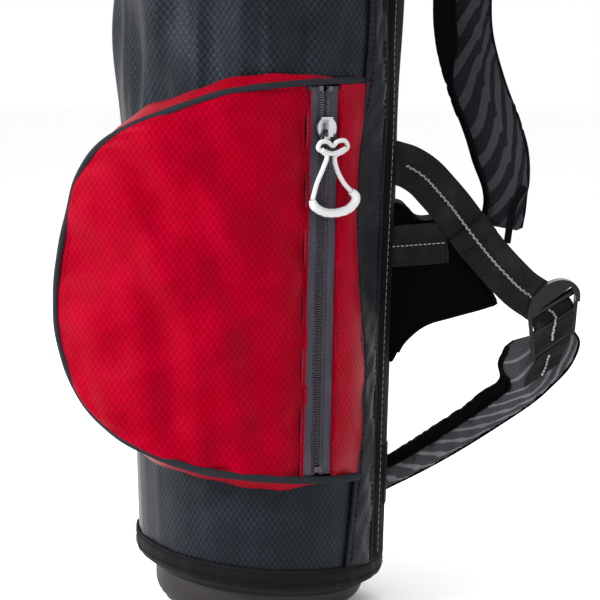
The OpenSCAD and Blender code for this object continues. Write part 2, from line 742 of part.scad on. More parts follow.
module towel_ring() {
  color(C_METAL) rotate([0, 0, towel_az]) {
    translate([88.1, -12, 482.6]) rotate([-90, 0, 0]) cylinder(h = 24, r = 1.5, $fn = 32);
    for (s = [-1, 1]) bar([88.1, s * 12, 482.6], [88.6, s * 12, 470], 3, 24);
    for (s = [-1, 1]) translate([88.1, s * 12, 482.6]) sphere(d = 3, $fn = 24);
    translate([88.6, 0, 470]) rotate([90, 0, 90]) rotate([0, 0, 180]) intersection() {
      rotate_extrude($fn = 48) translate([12, 0]) circle(r = 1.5, $fn = 24);
      translate([-20, 0, -5]) cube([40, 20, 10]);
    }
  }
}

base_cup();
base_band();
body_sleeve();
stay_rods();
top_collar();
collar_cuff();
divider_bars();
divider_panel();
collar_rivets();
spine_facing();
spine_panel();
handle_webbing();
handle_grip();
pocket_face();
pocket_strip();
pocket_gusset();
pocket_piping();
zip_tapes();
zip_coil();
zip_stops();
zip_slider();
slider_ring();
pull_cord();
pull_grip();
hip_pad();
hip_webbing();
shoulder_webbing();
ladder_lock();
upper_pad();
upper_backing();
upper_webbing();
upper_tail();
upper_anchor();
lower_pad();
lower_backing();
lower_loop();
lower_anchor();
leg_bracket();
leg_pins();
leg_left();
leg_right();
knuckle_left();
knuckle_right();
foot_left();
foot_right();
clip_left();
clip_right();
push_rod();
rod_yoke();
rod_pin();
rod_guides();
arm_left();
arm_right();
kick_plate();
hinge_pin();
towel_ring();
towel_tab();
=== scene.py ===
"""Looks of the junior golf stand bag: fabric tube, ball pocket, harness, stand and base.
Lengths are in millimetres until a mesh is made, in the frame that the CAD model uses."""
import math
import bpy
import numpy as np
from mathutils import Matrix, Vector


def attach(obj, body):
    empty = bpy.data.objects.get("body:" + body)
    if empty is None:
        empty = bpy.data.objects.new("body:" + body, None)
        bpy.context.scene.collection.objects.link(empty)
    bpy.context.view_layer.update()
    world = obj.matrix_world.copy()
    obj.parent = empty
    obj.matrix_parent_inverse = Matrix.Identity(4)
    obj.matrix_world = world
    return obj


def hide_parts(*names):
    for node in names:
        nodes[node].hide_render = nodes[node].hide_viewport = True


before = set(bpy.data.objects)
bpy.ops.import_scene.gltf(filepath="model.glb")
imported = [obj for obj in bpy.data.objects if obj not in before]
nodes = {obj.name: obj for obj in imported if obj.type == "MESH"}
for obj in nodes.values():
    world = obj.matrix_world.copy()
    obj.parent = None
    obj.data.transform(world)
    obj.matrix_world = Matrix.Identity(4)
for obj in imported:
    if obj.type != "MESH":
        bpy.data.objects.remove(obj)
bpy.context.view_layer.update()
MM = 0.001
TAU = 2 * math.pi

# shape of the bag, as in the CAD model
TUBE_R0, TUBE_SLOPE = 69.3, 0.0322
TUBE_TOP, STRIP_TOP, STRIP_FOOT = 572, 563, 36.2
BAND_R = 70
# radius at which the weave of the tube is laid out flat
WEAVE_R = 75
EDGE_AZ = math.radians(137)
ROD_AZ = math.radians(120)
EDGE_RISE = math.tan(math.radians(7.4))
ZIP_MID = np.array([36.0, -75.0])
ZIP_TURN = math.radians(34.3)
ZIP_LEAN, ZIP_REF = math.tan(math.radians(1.44)), 232.0
SLIDER_Z = 277.0
FRONT = [[66, -36], [59.5, -49.5], [47, -67.5], [36, -75], [25, -82.5], [4, -91.5], [-16, -95.5],
         [-40, -97.6], [-62, -95.2], [-84, -88.5], [-103, -80.5], [-112, -76]]
POCKET_EDGE = [[70, 302], [40, 302], [10, 300], [-16, 296.5], [-40, 289], [-66, 279], [-84, 268],
               [-96, 252], [-102, 232], [-108, 205], [-110, 178], [-107, 155], [-97, 131], [-80, 113],
               [-58, 101], [-30, 91.5], [0, 86.5], [30, 83], [70, 80]]


# ---------------------------------------------------------------- shape helpers
def tube_r(z):
    """outer radius of the tube at a height"""
    return TUBE_R0 + TUBE_SLOPE * z


def curve(points, n):
    """Catmull-Rom curve through the points, n steps a span"""
    p = np.array(points, float)
    q = np.vstack([p[:1], p, p[-1:]])
    out = []
    for i in range(len(p) - 1):
        a, b, c, d = q[i:i + 4]
        for t in np.arange(n) / n:
            out.append(0.5 * (2 * b + (c - a) * t + (2 * a - 5 * b + 4 * c - d) * t * t
                              + (3 * b - a - 3 * c + d) * t ** 3))
    return np.array(out + [p[-1]])


def lengths(p):
    """distance run along p at each of its points"""
    return np.concatenate([[0], np.cumsum(np.linalg.norm(np.diff(p, axis=0), axis=1))])


def resample(p, step):
    """the same line with even steps"""
    p = np.asarray(p, float)
    s = lengths(p)
    t = np.linspace(0, s[-1], max(2, int(round(s[-1] / step)) + 1))
    return np.stack([np.interp(t, s, p[:, k]) for k in range(p.shape[1])], 1)


def unit(v):
    return v / np.maximum(np.linalg.norm(v, axis=-1, keepdims=True), 1e-9)


def smooth(x, a, b):
    """0 at a, 1 at b, smooth between"""
    t = np.clip((x - a) / (b - a), 0, 1)
    return t * t * (3 - 2 * t)


def xz(p, y):
    """a flat line drawn in x and z, set at depth y"""
    p = np.asarray(p, float)
    return np.stack([p[:, 0], np.full(len(p), float(y)) if np.isscalar(y) else y, p[:, 1]], 1)


def grid_faces(m, n, wrap_n=False):
    faces = []
    for i in range(m - 1):
        for j in range(n if wrap_n else n - 1):
            k = (j + 1) % n
            faces.append((i * n + j, i * n + k, (i + 1) * n + k, (i + 1) * n + j))
    return faces


class Shape:
    """vertices, faces and flat pattern coordinates of one piece, gathered part by part"""

    def __init__(self):
        self.v, self.f, self.uv, self.count = [], [], [], 0

    def add(self, verts, faces, uv=None):
        verts = np.asarray(verts, float).reshape(-1, 3)
        self.v.append(verts)
        self.uv.append(np.zeros((len(verts), 2)) if uv is None else np.asarray(uv, float).reshape(-1, 2))
        self.f += [tuple(i + self.count for i in f) for f in faces]
        self.count += len(verts)
        return self

    def grid(self, p, uv=None, wrap=False, flip=False):
        faces = grid_faces(p.shape[0], p.shape[1], wrap)
        return self.add(p, [f[::-1] for f in faces] if flip else faces, uv)

    def sweep(self, path, radius, sides=8, caps=True):
        """a round tube along path; radius may change along it"""
        path = np.asarray(path, float)
        t = unit(np.gradient(path, axis=0))
        up = np.array([0.12, 0.31, 0.94])
        u = unit(np.cross(t[0], up))
        rings = []
        rad = np.broadcast_to(radius, len(path))
        ang = np.arange(sides) * TAU / sides
        for i, c in enumerate(path):
            u = unit(u - np.dot(u, t[i]) * t[i])
            w = np.cross(t[i], u)
            rings.append(c + rad[i] * (np.outer(np.cos(ang), u) + np.outer(np.sin(ang), w)))
        p = np.array(rings)
        s = lengths(path)
        uv = np.stack([np.repeat(s, sides), np.tile(ang * float(rad.max()), len(path))], 1)
        faces = grid_faces(len(path), sides, True)
        if caps:
            faces += [tuple(range(sides))[::-1], tuple((len(path) - 1) * sides + k for k in range(sides))]
        return self.add(p, faces, uv)

    def loft(self, centre, across, out, power=2.6, sides=24, ends=4, round_end=0.5):
        """a closed pad: an oval section along centre, with half-size vectors across and out"""
        c, a, o = (np.asarray(x, float) for x in (centre, across, out))
        if ends:
            # rounded ends: extra sections that shrink to a short edge
            t = np.linspace(0, 1, ends + 1)[:-1]
            k = np.sqrt(1 - (1 - t) ** 2)
            run = np.linalg.norm(o[0]) * round_end
            d0, d1 = unit(c[0] - c[1]), unit(c[-1] - c[-2])
            ka, ko = 0.75 + 0.25 * k, 0.08 + 0.92 * k
            c = np.vstack([[c[0] + d0 * run * (1 - x) for x in k], c,
                           [c[-1] + d1 * run * (1 - x) for x in k[::-1]]])
            a = np.vstack([[a[0] * x for x in ka], a, [a[-1] * x for x in ka[::-1]]])
            o = np.vstack([[o[0] * x for x in ko], o, [o[-1] * x for x in ko[::-1]]])
        ang = (np.arange(sides) + 0.5) * TAU / sides
        ca = np.sign(np.cos(ang)) * np.abs(np.cos(ang)) ** (2 / power)
        so = np.sign(np.sin(ang)) * np.abs(np.sin(ang)) ** (2 / power)
        p = c[:, None] + a[:, None] * ca[None, :, None] + o[:, None] * so[None, :, None]
        s = lengths(c)
        wide = np.linalg.norm(a, axis=1)
        uv = np.stack([np.repeat(s, sides), (wide[:, None] * ca[None]).ravel()], 1)
        faces = grid_faces(len(c), sides, True)
        faces += [tuple(range(sides))[::-1], tuple((len(c) - 1) * sides + k for k in range(sides))]
        return self.add(p, faces, uv)

    def stitches(self, path, out, length=2.4, gap=1.1, radius=0.28, lift=0.12, sides=5):
        """a row of raised threads lying along path, on the side that out points to"""
        path = np.asarray(path, float)
        s = lengths(path)
        out = unit(np.broadcast_to(np.asarray(out, float), path.shape))

        def at(x, data):
            return np.stack([np.interp(x, s, data[:, k]) for k in range(3)], 1)

        start = gap / 2
        while start + length < s[-1]:
            t = start + length * np.array([0, 0.18, 0.5, 0.82, 1.0])
            rise = np.array([-0.9, 0.3, 0.75, 0.3, -0.9]) * radius + lift
            q = at(t, path) + unit(at(t, out)) * rise[:, None]
            self.sweep(q, radius * np.array([0.5, 0.95, 1.0, 0.95, 0.5]), sides)
            start += length + gap
        return self

    def make(self, name, mat, body="bag", replaces=(), slot=None, soft=True):
        mesh = bpy.data.meshes.new(name)
        mesh.from_pydata((np.vstack(self.v) * MM).tolist(), [], self.f)
        mesh.update()
        set_uv(mesh, np.vstack(self.uv))
        mesh.materials.append(mat)
        mesh.polygons.foreach_set("use_smooth", [soft] * len(mesh.polygons))
        piece = bpy.data.objects.new(name, mesh)
        bpy.context.scene.collection.objects.link(piece)
        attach(piece, body)
        if replaces:
            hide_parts(*replaces)
        return piece


def set_uv(mesh, uv):
    layer = mesh.uv_layers.new(name="flat")
    index = np.empty(len(mesh.loops), int)
    mesh.loops.foreach_get("vertex_index", index)
    layer.data.foreach_set("uv", (uv[index] * MM * 10).ravel())


def thicken(piece, depth, inner=-1.0):
    """gives a single skin its thickness, on the inside"""
    m = piece.modifiers.new("thickness", "SOLIDIFY")
    m.thickness = depth * MM
    m.offset = inner
    m.use_even_offset = True


# ---------------------------------------------------------------- materials
TONE = 0.37


def srgb(r, g, b, tone=TONE):
    """a colour as seen; tone turns it into the darker base colour that looks so under this bright studio"""
    c = np.array([r, g, b]) / 255
    lin = np.where(c <= 0.04045, c / 12.92, ((c + 0.055) / 1.055) ** 2.4) * tone
    return (*[float(x) for x in lin], 1.0)


class Paint:
    """builds one material from nodes; values may be numbers or sockets"""

    def __init__(self, name, rough=0.7, **sockets):
        self.mat = bpy.data.materials.new(name)
        self.mat.use_nodes = True
        self.tree = self.mat.node_tree
        self.shader = self.tree.nodes["Principled BSDF"]
        self.shader.inputs["Roughness"].default_value = rough
        for key, value in sockets.items():
            self.shader.inputs[key.replace("_", " ")].default_value = value
        self.bumps = None

    def put(self, socket, value):
        if isinstance(value, bpy.types.NodeSocket):
            self.tree.links.new(value, socket)
        else:
            socket.default_value = value

    def node(self, kind, values=(), **props):
        n = self.tree.nodes.new("ShaderNode" + kind)
        for key, value in props.items():
            setattr(n, key, value)
        for key, value in dict(values).items():
            self.put(n.inputs[key], value)
        return n

    def math(self, op, a, b=0.0, c=0.0):
        return self.node("Math", {0: a, 1: b, 2: c}, operation=op).outputs[0]

    def mul(self, a, b):
        return self.math("MULTIPLY", a, b)

    def add(self, a, b):
        return self.math("ADD", a, b)

    def step(self, value, low, high):
        """0 below low, 1 above high, smooth between"""
        n = self.node("MapRange", {"Value": value, "From Min": low, "From Max": high},
                      interpolation_type="SMOOTHSTEP")
        return n.outputs["Result"]

    def flat(self):
        """pattern coordinates in millimetres along and across the cloth"""
        uv = self.node("UVMap", uv_map="flat").outputs[0]
        xyz = self.node("SeparateXYZ", {0: uv})
        return self.mul(xyz.outputs[0], 100.0), self.mul(xyz.outputs[1], 100.0)

    def place(self):
        return self.node("TexCoord").outputs["Object"]

    def noise(self, scale, detail=3.0, where=None, stretch=None, rough=0.55):
        where = where or self.place()
        if stretch:
            where = self.node("Mapping", {"Vector": where, "Scale": stretch}).outputs[0]
        n = self.node("TexNoise", {"Vector": where, "Scale": scale, "Detail": detail, "Roughness": rough})
        return n.outputs["Fac"]

    def mix(self, amount, a, b):
        n = self.node("Mix", data_type="RGBA")
        self.put(n.inputs[0], amount)
        self.put(n.inputs[6], a)
        self.put(n.inputs[7], b)
        return n.outputs[2]

    def wave(self, x, period):
        """0 to 1 and back along x"""
        return self.math("MULTIPLY_ADD", self.math("SINE", self.mul(x, TAU / period)), 0.5, 0.5)

    def lines(self, x, period, width):
        """1 on thin lines that repeat every period"""
        f = self.math("FRACT", self.math("DIVIDE", x, period))
        edge = self.math("ABSOLUTE", self.math("SUBTRACT", f, 0.5))
        return self.step(edge, 0.5 - width / period, 0.5 - 0.35 * width / period)

    def bump(self, height, distance, strength=1.0):
        values = {"Height": height, "Distance": distance * MM, "Strength": strength}
        if self.bumps:
            values["Normal"] = self.bumps
        self.bumps = self.node("Bump", values).outputs[0]

    def done(self, colour=None, rough=None):
        if colour is not None:
            self.put(self.shader.inputs["Base Color"], colour)
        if rough is not None:
            self.put(self.shader.inputs["Roughness"], rough)
        if self.bumps:
            self.put(self.shader.inputs["Normal"], self.bumps)
        return self.mat


def shades(p, low, high, scale=55.0, amount=(0.35, 0.7)):
    """a base colour that wanders between two tones"""
    return p.mix(p.step(p.noise(scale), *amount), low, high)


def ripstop(name, low, high, line, sheen=0.02, cell=(3.5, 5.1), line_dark=0.95, rough=0.6, gloss=0.12,
            tint=None):
    """plain woven cloth with a fine diamond grid of heavier threads"""
    p = Paint(name, rough, Sheen_Weight=sheen, Sheen_Roughness=0.5, Specular_IOR_Level=gloss)
    if tint:
        p.shader.inputs["Specular Tint"].default_value = tint
    u, v = p.flat()
    a, b = p.math("DIVIDE", u, cell[0]), p.math("DIVIDE", v, cell[1])
    rows = [p.lines(p.add(a, b), 1.0, 0.2), p.lines(p.math("SUBTRACT", a, b), 1.0, 0.2)]
    crossing = p.mul(rows[0], rows[1])
    grid = p.math("MINIMUM", 1.0, p.add(p.mul(p.math("MAXIMUM", *rows), 0.8), p.mul(crossing, 0.5)))
    weave = p.mul(p.wave(u, 0.62), p.wave(v, 0.62))
    # the raised points of the fine weave are painted lighter, towards high: a painted highlight on the
    # threads with painted shade between them
    cloth = p.mix(p.mul(weave, 0.35), shades(p, low, high), high)
    fleck = p.step(p.noise(900.0, 1.0), 0.35, 0.75)
    cloth = p.mix(p.mul(fleck, 0.25), cloth, low)
    p.bump(weave, 0.06, 0.6)
    p.bump(grid, -0.14, 0.8)
    p.bump(p.noise(70.0, 4.0), 0.5, 0.35)
    return p.done(p.mix(p.mul(grid, line_dark), cloth, line),
                  p.math("MULTIPLY_ADD", weave, -0.12, rough + 0.04))


def webbing(name, low, high, rib=1.25, rough=0.62):
    """woven tape with ribs across it and fine cords along it"""
    p = Paint(name, rough, Sheen_Weight=0.01, Specular_IOR_Level=0.1)
    u, v = p.flat()
    stagger = p.mul(p.math("FLOOR", p.math("DIVIDE", v, 1.5)), rib / 2)
    ribs = p.wave(p.add(u, stagger), rib)
    cords = p.wave(v, 1.5)
    relief = p.mul(p.math("POWER", ribs, 0.7), p.math("MULTIPLY_ADD", cords, 0.5, 0.5))
    fuzz = p.noise(700.0, 2.0)
    p.bump(relief, 0.32, 0.9)
    p.bump(fuzz, 0.12, 0.5)
    # the ribs and cords are painted lighter where they stand up: painted shade in the grooves between them
    tone = p.mix(p.mul(relief, 0.8), low, high)
    return p.done(p.mix(p.step(p.noise(60.0), 0.45, 0.8), tone, high))


def twill(name, low, high, pitch=0.9):
    p = Paint(name, 0.75, Sheen_Weight=0.01, Specular_IOR_Level=0.05)
    u, v = p.flat()
    ridge = p.wave(p.add(u, v), pitch)
    p.bump(ridge, 0.16, 0.8)
    p.bump(p.noise(80.0, 4.0), 0.4, 0.4)
    # the twill's ridges are painted lighter than the furrows between them: painted shade in the furrows
    return p.done(p.mix(p.mul(ridge, 0.7), shades(p, low, low), high))


def moulded(name, low, high, rough=0.5, grain=600.0, depth=0.05, coat=0.0, gloss=0.2):
    """moulded plastic with a fine grain and rubbed high spots"""
    p = Paint(name, rough, Coat_Weight=coat, Specular_IOR_Level=gloss)
    fine = p.noise(grain, 2.0)
    p.bump(fine, depth, 0.5)
    p.bump(p.noise(90.0, 3.0), 0.15, 0.2)
    worn = p.step(p.noise(38.0, 5.0), 0.5, 0.75)
    roughness = p.math("MULTIPLY_ADD", p.noise(120.0, 3.0), 0.22, rough - 0.1)
    return p.done(p.mix(p.mul(worn, 0.55), low, high), roughness)


def metal(name, low, high, rough=0.3, brushed=(1, 1, 12)):
    p = Paint(name, rough, Metallic=1.0)
    streaks = p.noise(240.0, 3.0, stretch=brushed)
    p.bump(streaks, 0.02, 0.4)
    return p.done(p.mix(streaks, low, high), p.math("MULTIPLY_ADD", p.noise(150.0), 0.25, rough - 0.1))


def thread(name, colour, dark):
    p = Paint(name, 0.7, Specular_IOR_Level=0.1)
    u, v = p.flat()
    ply = p.wave(p.add(p.mul(u, 1.4), v), 0.7)
    p.bump(ply, 0.08, 0.8)
    # the raised plies take the thread's colour and the grooves of the twist get the dark tone: painted shade
    return p.done(p.mix(ply, dark, colour))


def braid(name, colour, dark, pitch=1.5):
    """braided cord sleeve"""
    p = Paint(name, 0.6, Sheen_Weight=0.3)
    u, v = p.flat()
    cross = p.math("MAXIMUM", p.wave(p.add(u, v), pitch), p.wave(p.math("SUBTRACT", u, v), pitch))
    p.bump(cross, 0.12, 0.8)
    # the raised strands take the cord's colour and the hollows between them get the dark tone: painted shade
    return p.done(p.mix(cross, dark, colour))


def striped(name, dark, mark, light, knit_light, period=18.5, share=0.4):
    """knit cover with slanted, notched bands that hook at one side, and faint diamonds in the dark ones"""
    p = Paint(name, 0.8, Sheen_Weight=0.02, Specular_IOR_Level=0.08)
    u, v = p.flat()
    side = p.add(v, 15.0)
    lean = p.add(p.mul(side, 0.30), p.mul(p.mul(side, side), 0.052))
    drift = p.mul(p.math("SUBTRACT", p.noise(18.0, 1.0), 0.5), 7.0)
    spike = p.math("MAXIMUM", 0.0, p.math("SUBTRACT", 1.0, p.mul(p.math("ABSOLUTE", p.add(v, -3.0)), 0.45)))
    run = p.add(p.add(p.math("SUBTRACT", u, lean), drift), p.mul(spike, 3.4))
    x = p.math("FRACT", p.math("DIVIDE", run, period))
    wide = p.math("MULTIPLY_ADD", side, 0.008, share)
    past = p.step(p.math("SUBTRACT", x, wide), -0.02, 0.02)
    pale = p.mul(p.step(x, 0.02, 0.05), p.math("SUBTRACT", 1.0, past))
    a, b = p.math("DIVIDE", u, 4.2), p.math("DIVIDE", v, 2.6)
    grid = p.math("MAXIMUM", p.lines(p.add(a, b), 1.0, 0.16), p.lines(p.math("SUBTRACT", a, b), 1.0, 0.16))
    knit = p.mul(p.wave(u, 0.8), p.wave(v, 0.7))
    p.bump(knit, 0.12, 0.7)
    p.bump(pale, 0.12, 0.5)
    # in the light bands the raised knit loops are painted lighter, towards knit_light: painted shade between
    # the loops
    return p.done(p.mix(pale, p.mix(p.mul(grid, 0.55), dark, mark),
                        p.mix(p.mul(knit, 0.5), light, knit_light)))


def mesh_cloth(name):
    """open spacer mesh: rows of small holes over a dark backing, the holes painted darker as painted shade in
    their depth
    """
    p = Paint(name, 0.9, Specular_IOR_Level=0.03)
    u, v = p.flat()
    row = p.math("FLOOR", p.math("DIVIDE", v, 1.7))
    du = p.math("SUBTRACT", p.math("FRACT", p.add(p.math("DIVIDE", u, 2.1), p.mul(row, 0.5))), 0.5)
    dv = p.math("SUBTRACT", p.math("FRACT", p.math("DIVIDE", v, 1.7)), 0.5)
    far = p.math("SQRT", p.add(p.mul(du, du), p.mul(dv, dv)))
    hole = p.math("SUBTRACT", 1.0, p.step(far, 0.22, 0.36))
    p.bump(hole, -0.5, 0.9)
    # the holes are painted darker than the mesh round them: painted shade in their depth
    return p.done(p.mix(hole, srgb(16, 15, 18), srgb(3, 3, 4)))


CLOTH = ripstop("charcoal_ripstop", srgb(32, 36, 42), srgb(50, 56, 64), srgb(2, 3, 6), gloss=0.17,
                rough=0.33, tint=(0.6, 0.7, 0.85, 1.0))
RED = ripstop("red_ripstop", srgb(198, 0, 36), srgb(222, 2, 48), srgb(146, 0, 26), line_dark=0.5, gloss=0.14,
              sheen=0.0, rough=0.38, tint=(1.0, 0.02, 0.09, 1.0))
LINING = ripstop("lining", srgb(34, 35, 42), srgb(44, 46, 54), srgb(24, 25, 30))
PIPING = twill("piping_tape", srgb(40, 43, 49), srgb(78, 83, 92), 1.1)
WEB = webbing("black_webbing", srgb(6, 5, 6), srgb(60, 57, 60))
BAND = webbing("band_webbing", srgb(5, 5, 6), srgb(26, 25, 28), 0.9)
BINDING = twill("black_binding", srgb(4, 4, 5), srgb(15, 15, 18), 0.7)
TAPE = webbing("zip_tape", srgb(88, 86, 98), srgb(122, 118, 132), 0.8)
COIL = moulded("zip_coil", srgb(104, 100, 106), srgb(176, 172, 178), 0.3)
FACING = ripstop("facing_ripstop", srgb(24, 25, 31), srgb(38, 40, 49), srgb(5, 5, 9), gloss=0.17, rough=0.36,
                 tint=(0.6, 0.65, 0.8, 1.0))
STRIPES = striped("striped_knit", srgb(26, 28, 36), srgb(50, 53, 63), srgb(72, 72, 79), srgb(92, 92, 99))
STRIPES_LOW = striped("striped_knit_low", srgb(86, 87, 93), srgb(104, 105, 111), srgb(150, 150, 155),
                      srgb(186, 186, 190), 15.0, 0.2)
MESH = mesh_cloth("spacer_mesh")
BASE = moulded("base_plastic", srgb(61, 56, 60), srgb(76, 70, 74), 0.55, 900.0, 0.08)
BLACK = moulded("black_plastic", srgb(14, 13, 15), srgb(34, 33, 35), 0.38, coat=0.15)
RUBBER = moulded("rubber", srgb(16, 16, 17), srgb(32, 32, 33), 0.8, 500.0, 0.12)
STEEL = metal("zinc_steel", srgb(170, 170, 174, 1.0), srgb(205, 205, 208, 1.0))
CHROME = metal("bright_zinc", srgb(168, 166, 170, 1.0), srgb(205, 205, 208, 1.0), 0.3)
POWDER = moulded("leg_coat", srgb(16, 16, 18), srgb(30, 30, 33), 0.42, 1200.0, 0.06, 0.2)
GLASS_ROD = moulded("stay_rod", srgb(60, 60, 62), srgb(84, 84, 86), 0.45)
WHITE_CORD = braid("white_cord", srgb(244, 244, 246, 0.6), srgb(214, 214, 218, 0.6))
WHITE_GRIP = moulded("white_grip", srgb(242, 242, 245, 0.6), srgb(248, 248, 250, 0.6), 0.45)
THREAD = thread("dark_thread", srgb(30, 30, 35), srgb(12, 12, 15))
WHITE_THREAD = thread("white_thread", srgb(226, 226, 228, 0.5), srgb(150, 150, 154, 0.5))
RED_THREAD = thread("red_thread", srgb(190, 10, 50), srgb(110, 2, 26))


# ---------------------------------------------------------------- camera, floor and light
def aim(thing, target):
    """turns a light or the camera towards a point"""
    thing.rotation_euler = (Vector(target) - thing.location).to_track_quat("-Z", "Y").to_euler()


def lamp(name, place, target, size, power):
    data = bpy.data.lights.new(name, "AREA")
    data.shape = "DISK"
    data.size = size
    data.energy = power
    light = bpy.data.objects.new(name, data)
    bpy.context.scene.collection.objects.link(light)
    light.location = place
    aim(light, target)


LOOK_AT = Vector((0.0238, 0.0, 0.1744))
CAMERA_UP = math.radians(6)
CAMERA_FAR = 1.5
FOCAL = 155.0
eye = bpy.data.cameras.new("camera")
eye.lens = FOCAL
camera = bpy.data.objects.new("camera", eye)
camera.location = LOOK_AT + CAMERA_FAR * Vector((0, -math.cos(CAMERA_UP), math.sin(CAMERA_UP)))
aim(camera, LOOK_AT)
bpy.context.scene.collection.objects.link(camera)
bpy.context.scene.camera = camera

world = bpy.data.worlds.new("studio")
world.use_nodes = True
world.node_tree.nodes["Background"].inputs[0].default_value = (1.0, 1.0, 1.0, 1.0)
world.node_tree.nodes["Background"].inputs[1].default_value = 1.0
bpy.context.scene.world = world
bpy.context.scene.view_settings.view_transform = "Standard"
lamp("key", (-1.5, -1.0, 1.1), (0, 0, 0.22), 0.45, 60)
lamp("fill", (1.3, -1.0, 0.7), (0, 0, 0.2), 1.0, 3)
lamp("rim", (0.3, 1.4, 1.4), (0, 0, 0.3), 0.9, 12)

pale = Paint("pale_floor", 0.9)
pale.done(pale.mix(pale.noise(3.0), srgb(250, 250, 250, 1.0), srgb(253, 253, 253, 1.0)))
ground = Shape()
ground.add([[-9000, -9000, -0.05], [9000, -9000, -0.05], [9000, 9000, -0.05], [-9000, 9000, -0.05]],
           [(0, 1, 2, 3)])
floor_mesh = bpy.data.meshes.new("floor")
floor_mesh.from_pydata((np.vstack(ground.v) * MM).tolist(), [], ground.f)
floor_mesh.materials.append(pale.mat)
floor = bpy.data.objects.new("floor", floor_mesh)
bpy.context.scene.collection.objects.link(floor)


# ---------------------------------------------------------------- fabric tube
def folds(az, z):
    """soft upright folds of the tube's cloth, calmer at the spine and behind the push rod"""
    total = np.zeros(np.broadcast(az, z).shape)
    for k, size, phase in [(5, 0.7, 0.4), (9, 1.0, 2.1), (14, 0.8, 4.0),
                           (23, 0.5, 1.2), (37, 0.25, 5.5), (61, 0.1, 3.0)]:
        total = total + size * np.sin(k * az + phase + 1.4 * np.sin(z / (38.0 + k) + phase) + z / 260.0)
    total = total + 2.3 * np.sin(8 * az + z / 24.0) * np.exp(-((z - 335) / 60) ** 2)
    total = total + 0.9 * np.sin(19 * az - z / 31.0 + 1) * np.exp(-((z - 330) / 55) ** 2)
    from_spine = np.angle(np.exp(1j * az))
    from_rod = np.angle(np.exp(1j * (az - ROD_AZ)))
    calm = 1 - 0.75 * np.exp(-(from_spine / 0.75) ** 2) - 0.6 * np.exp(-(from_rod / 0.5) ** 2)
    return total * calm * (0.2 + 0.8 * smooth(z, 60, 200)) * (1 - 0.7 * smooth(z, 520, 560))


def edge_z(c, r, az):
    """height of the slanted lower edge plane over a point"""
    return c + EDGE_RISE * r * np.cos(az - EDGE_AZ)


def on_tube(az, z, off=0.0):
    r = tube_r(z) + off
    return np.stack(np.broadcast_arrays(r * np.cos(az), r * np.sin(az), z), -1)


az = np.linspace(0, TAU, 541)[:-1]
level = np.linspace(0, 1, 190)[:, None]
low = edge_z(26.6, 70.0, az)[None]
height = low + (TUBE_TOP - low) * level
skin = on_tube(az[None] + 0 * height, height, folds(az[None], height) - 0.25)
flat_uv = np.stack([np.broadcast_to(az * WEAVE_R, height.shape), height], -1)
# the pattern meets itself behind the spine, where a strip covers the join
body = Shape().grid(skin, flat_uv, wrap=True)
tube = body.make("tube_fabric", CLOTH, replaces=["body_sleeve"], slot="shell_fabric")
thicken(tube, 1.6)


def strip_on_tube(name, a0, a1, z0, z1, off, mat, replaces=(), depth=1.0, low_edge=None, crown=0.0,
                  slot=None, wavy=0.25, crumple=0.0):
    """a panel sewn on the tube between two compass directions, with rolled edges; a0 may depend on height"""
    across = np.linspace(-1, 1, 25)
    edge = 1 - np.abs(across) ** 8
    first = a0(20.0) if callable(a0) else a0
    t = np.linspace(0, 1, 180)[:, None]
    a = np.radians(first + (a1 - first) * (across + 1) / 2)
    bottom = np.full(len(a), float(z0)) if low_edge is None else edge_z(low_edge, 71.0, a)
    z = bottom[None] + (z1 - bottom[None]) * t
    start = a0(z) if callable(a0) else a0
    a = np.radians(start + (a1 - start) * (across[None] + 1) / 2)
    lift = off * (0.25 + 0.75 * edge) + crown * (1 - across ** 2)
    ripple = wavy * np.sin(z / 13.0 + 2 * across[None]) * (np.abs(across[None]) ** 3)
    creased = (np.sin(z / 5.2 + 3 * across + 1.5 * np.sin(z / 31.0))
               + 0.7 * np.sin(z / 3.0 - 5 * across + np.sin(z / 12.0)))
    p = on_tube(a + 0 * z, z, lift[None] + ripple + crumple * creased * (1 - across ** 4) + folds(a, z))
    uv = np.stack([np.broadcast_to(a * WEAVE_R, z.shape), z], -1)
    piece = Shape().grid(p, uv).make(name, mat, replaces=replaces, slot=slot)
    thicken(piece, depth)
    return piece


def line_on_tube(a, z0, z1, off, step=1.0):
    z = np.arange(z0, z1, step)
    az_line = np.radians(a(z) if callable(a) else a + 0 * z)
    outward = np.stack([np.cos(az_line), np.sin(az_line), 0 * z], 1)
    return on_tube(az_line, z, off + folds(az_line, z)), outward


FACING_EDGE = [[20, 50.0], [75, 55.5], [118, 58.3], [150, 58.0], [173, 55.3], [214, 52.8], [247, 54.0],
               [275, 57.8], [300, 61.3], [347, 63.0], [420, 65.2], [563, 69.5]]
facing_z, facing_x = curve(FACING_EDGE, 6).T


def facing_edge(z):
    """compass direction, in degrees, of the near facing's edge at a height"""
    return -np.degrees(np.arccos(np.interp(z, facing_z, facing_x) / (tube_r(z) + 2.0)))


def beside_facing(d):
    """compass direction d degrees from the near facing's edge, as a function of height"""
    return lambda z: facing_edge(z) + d


def facing_low(a):
    """height at which a seam in direction a starts, above the band"""
    return float(edge_z(36.8, 71.0, np.radians(a(20.0) if callable(a) else a)))


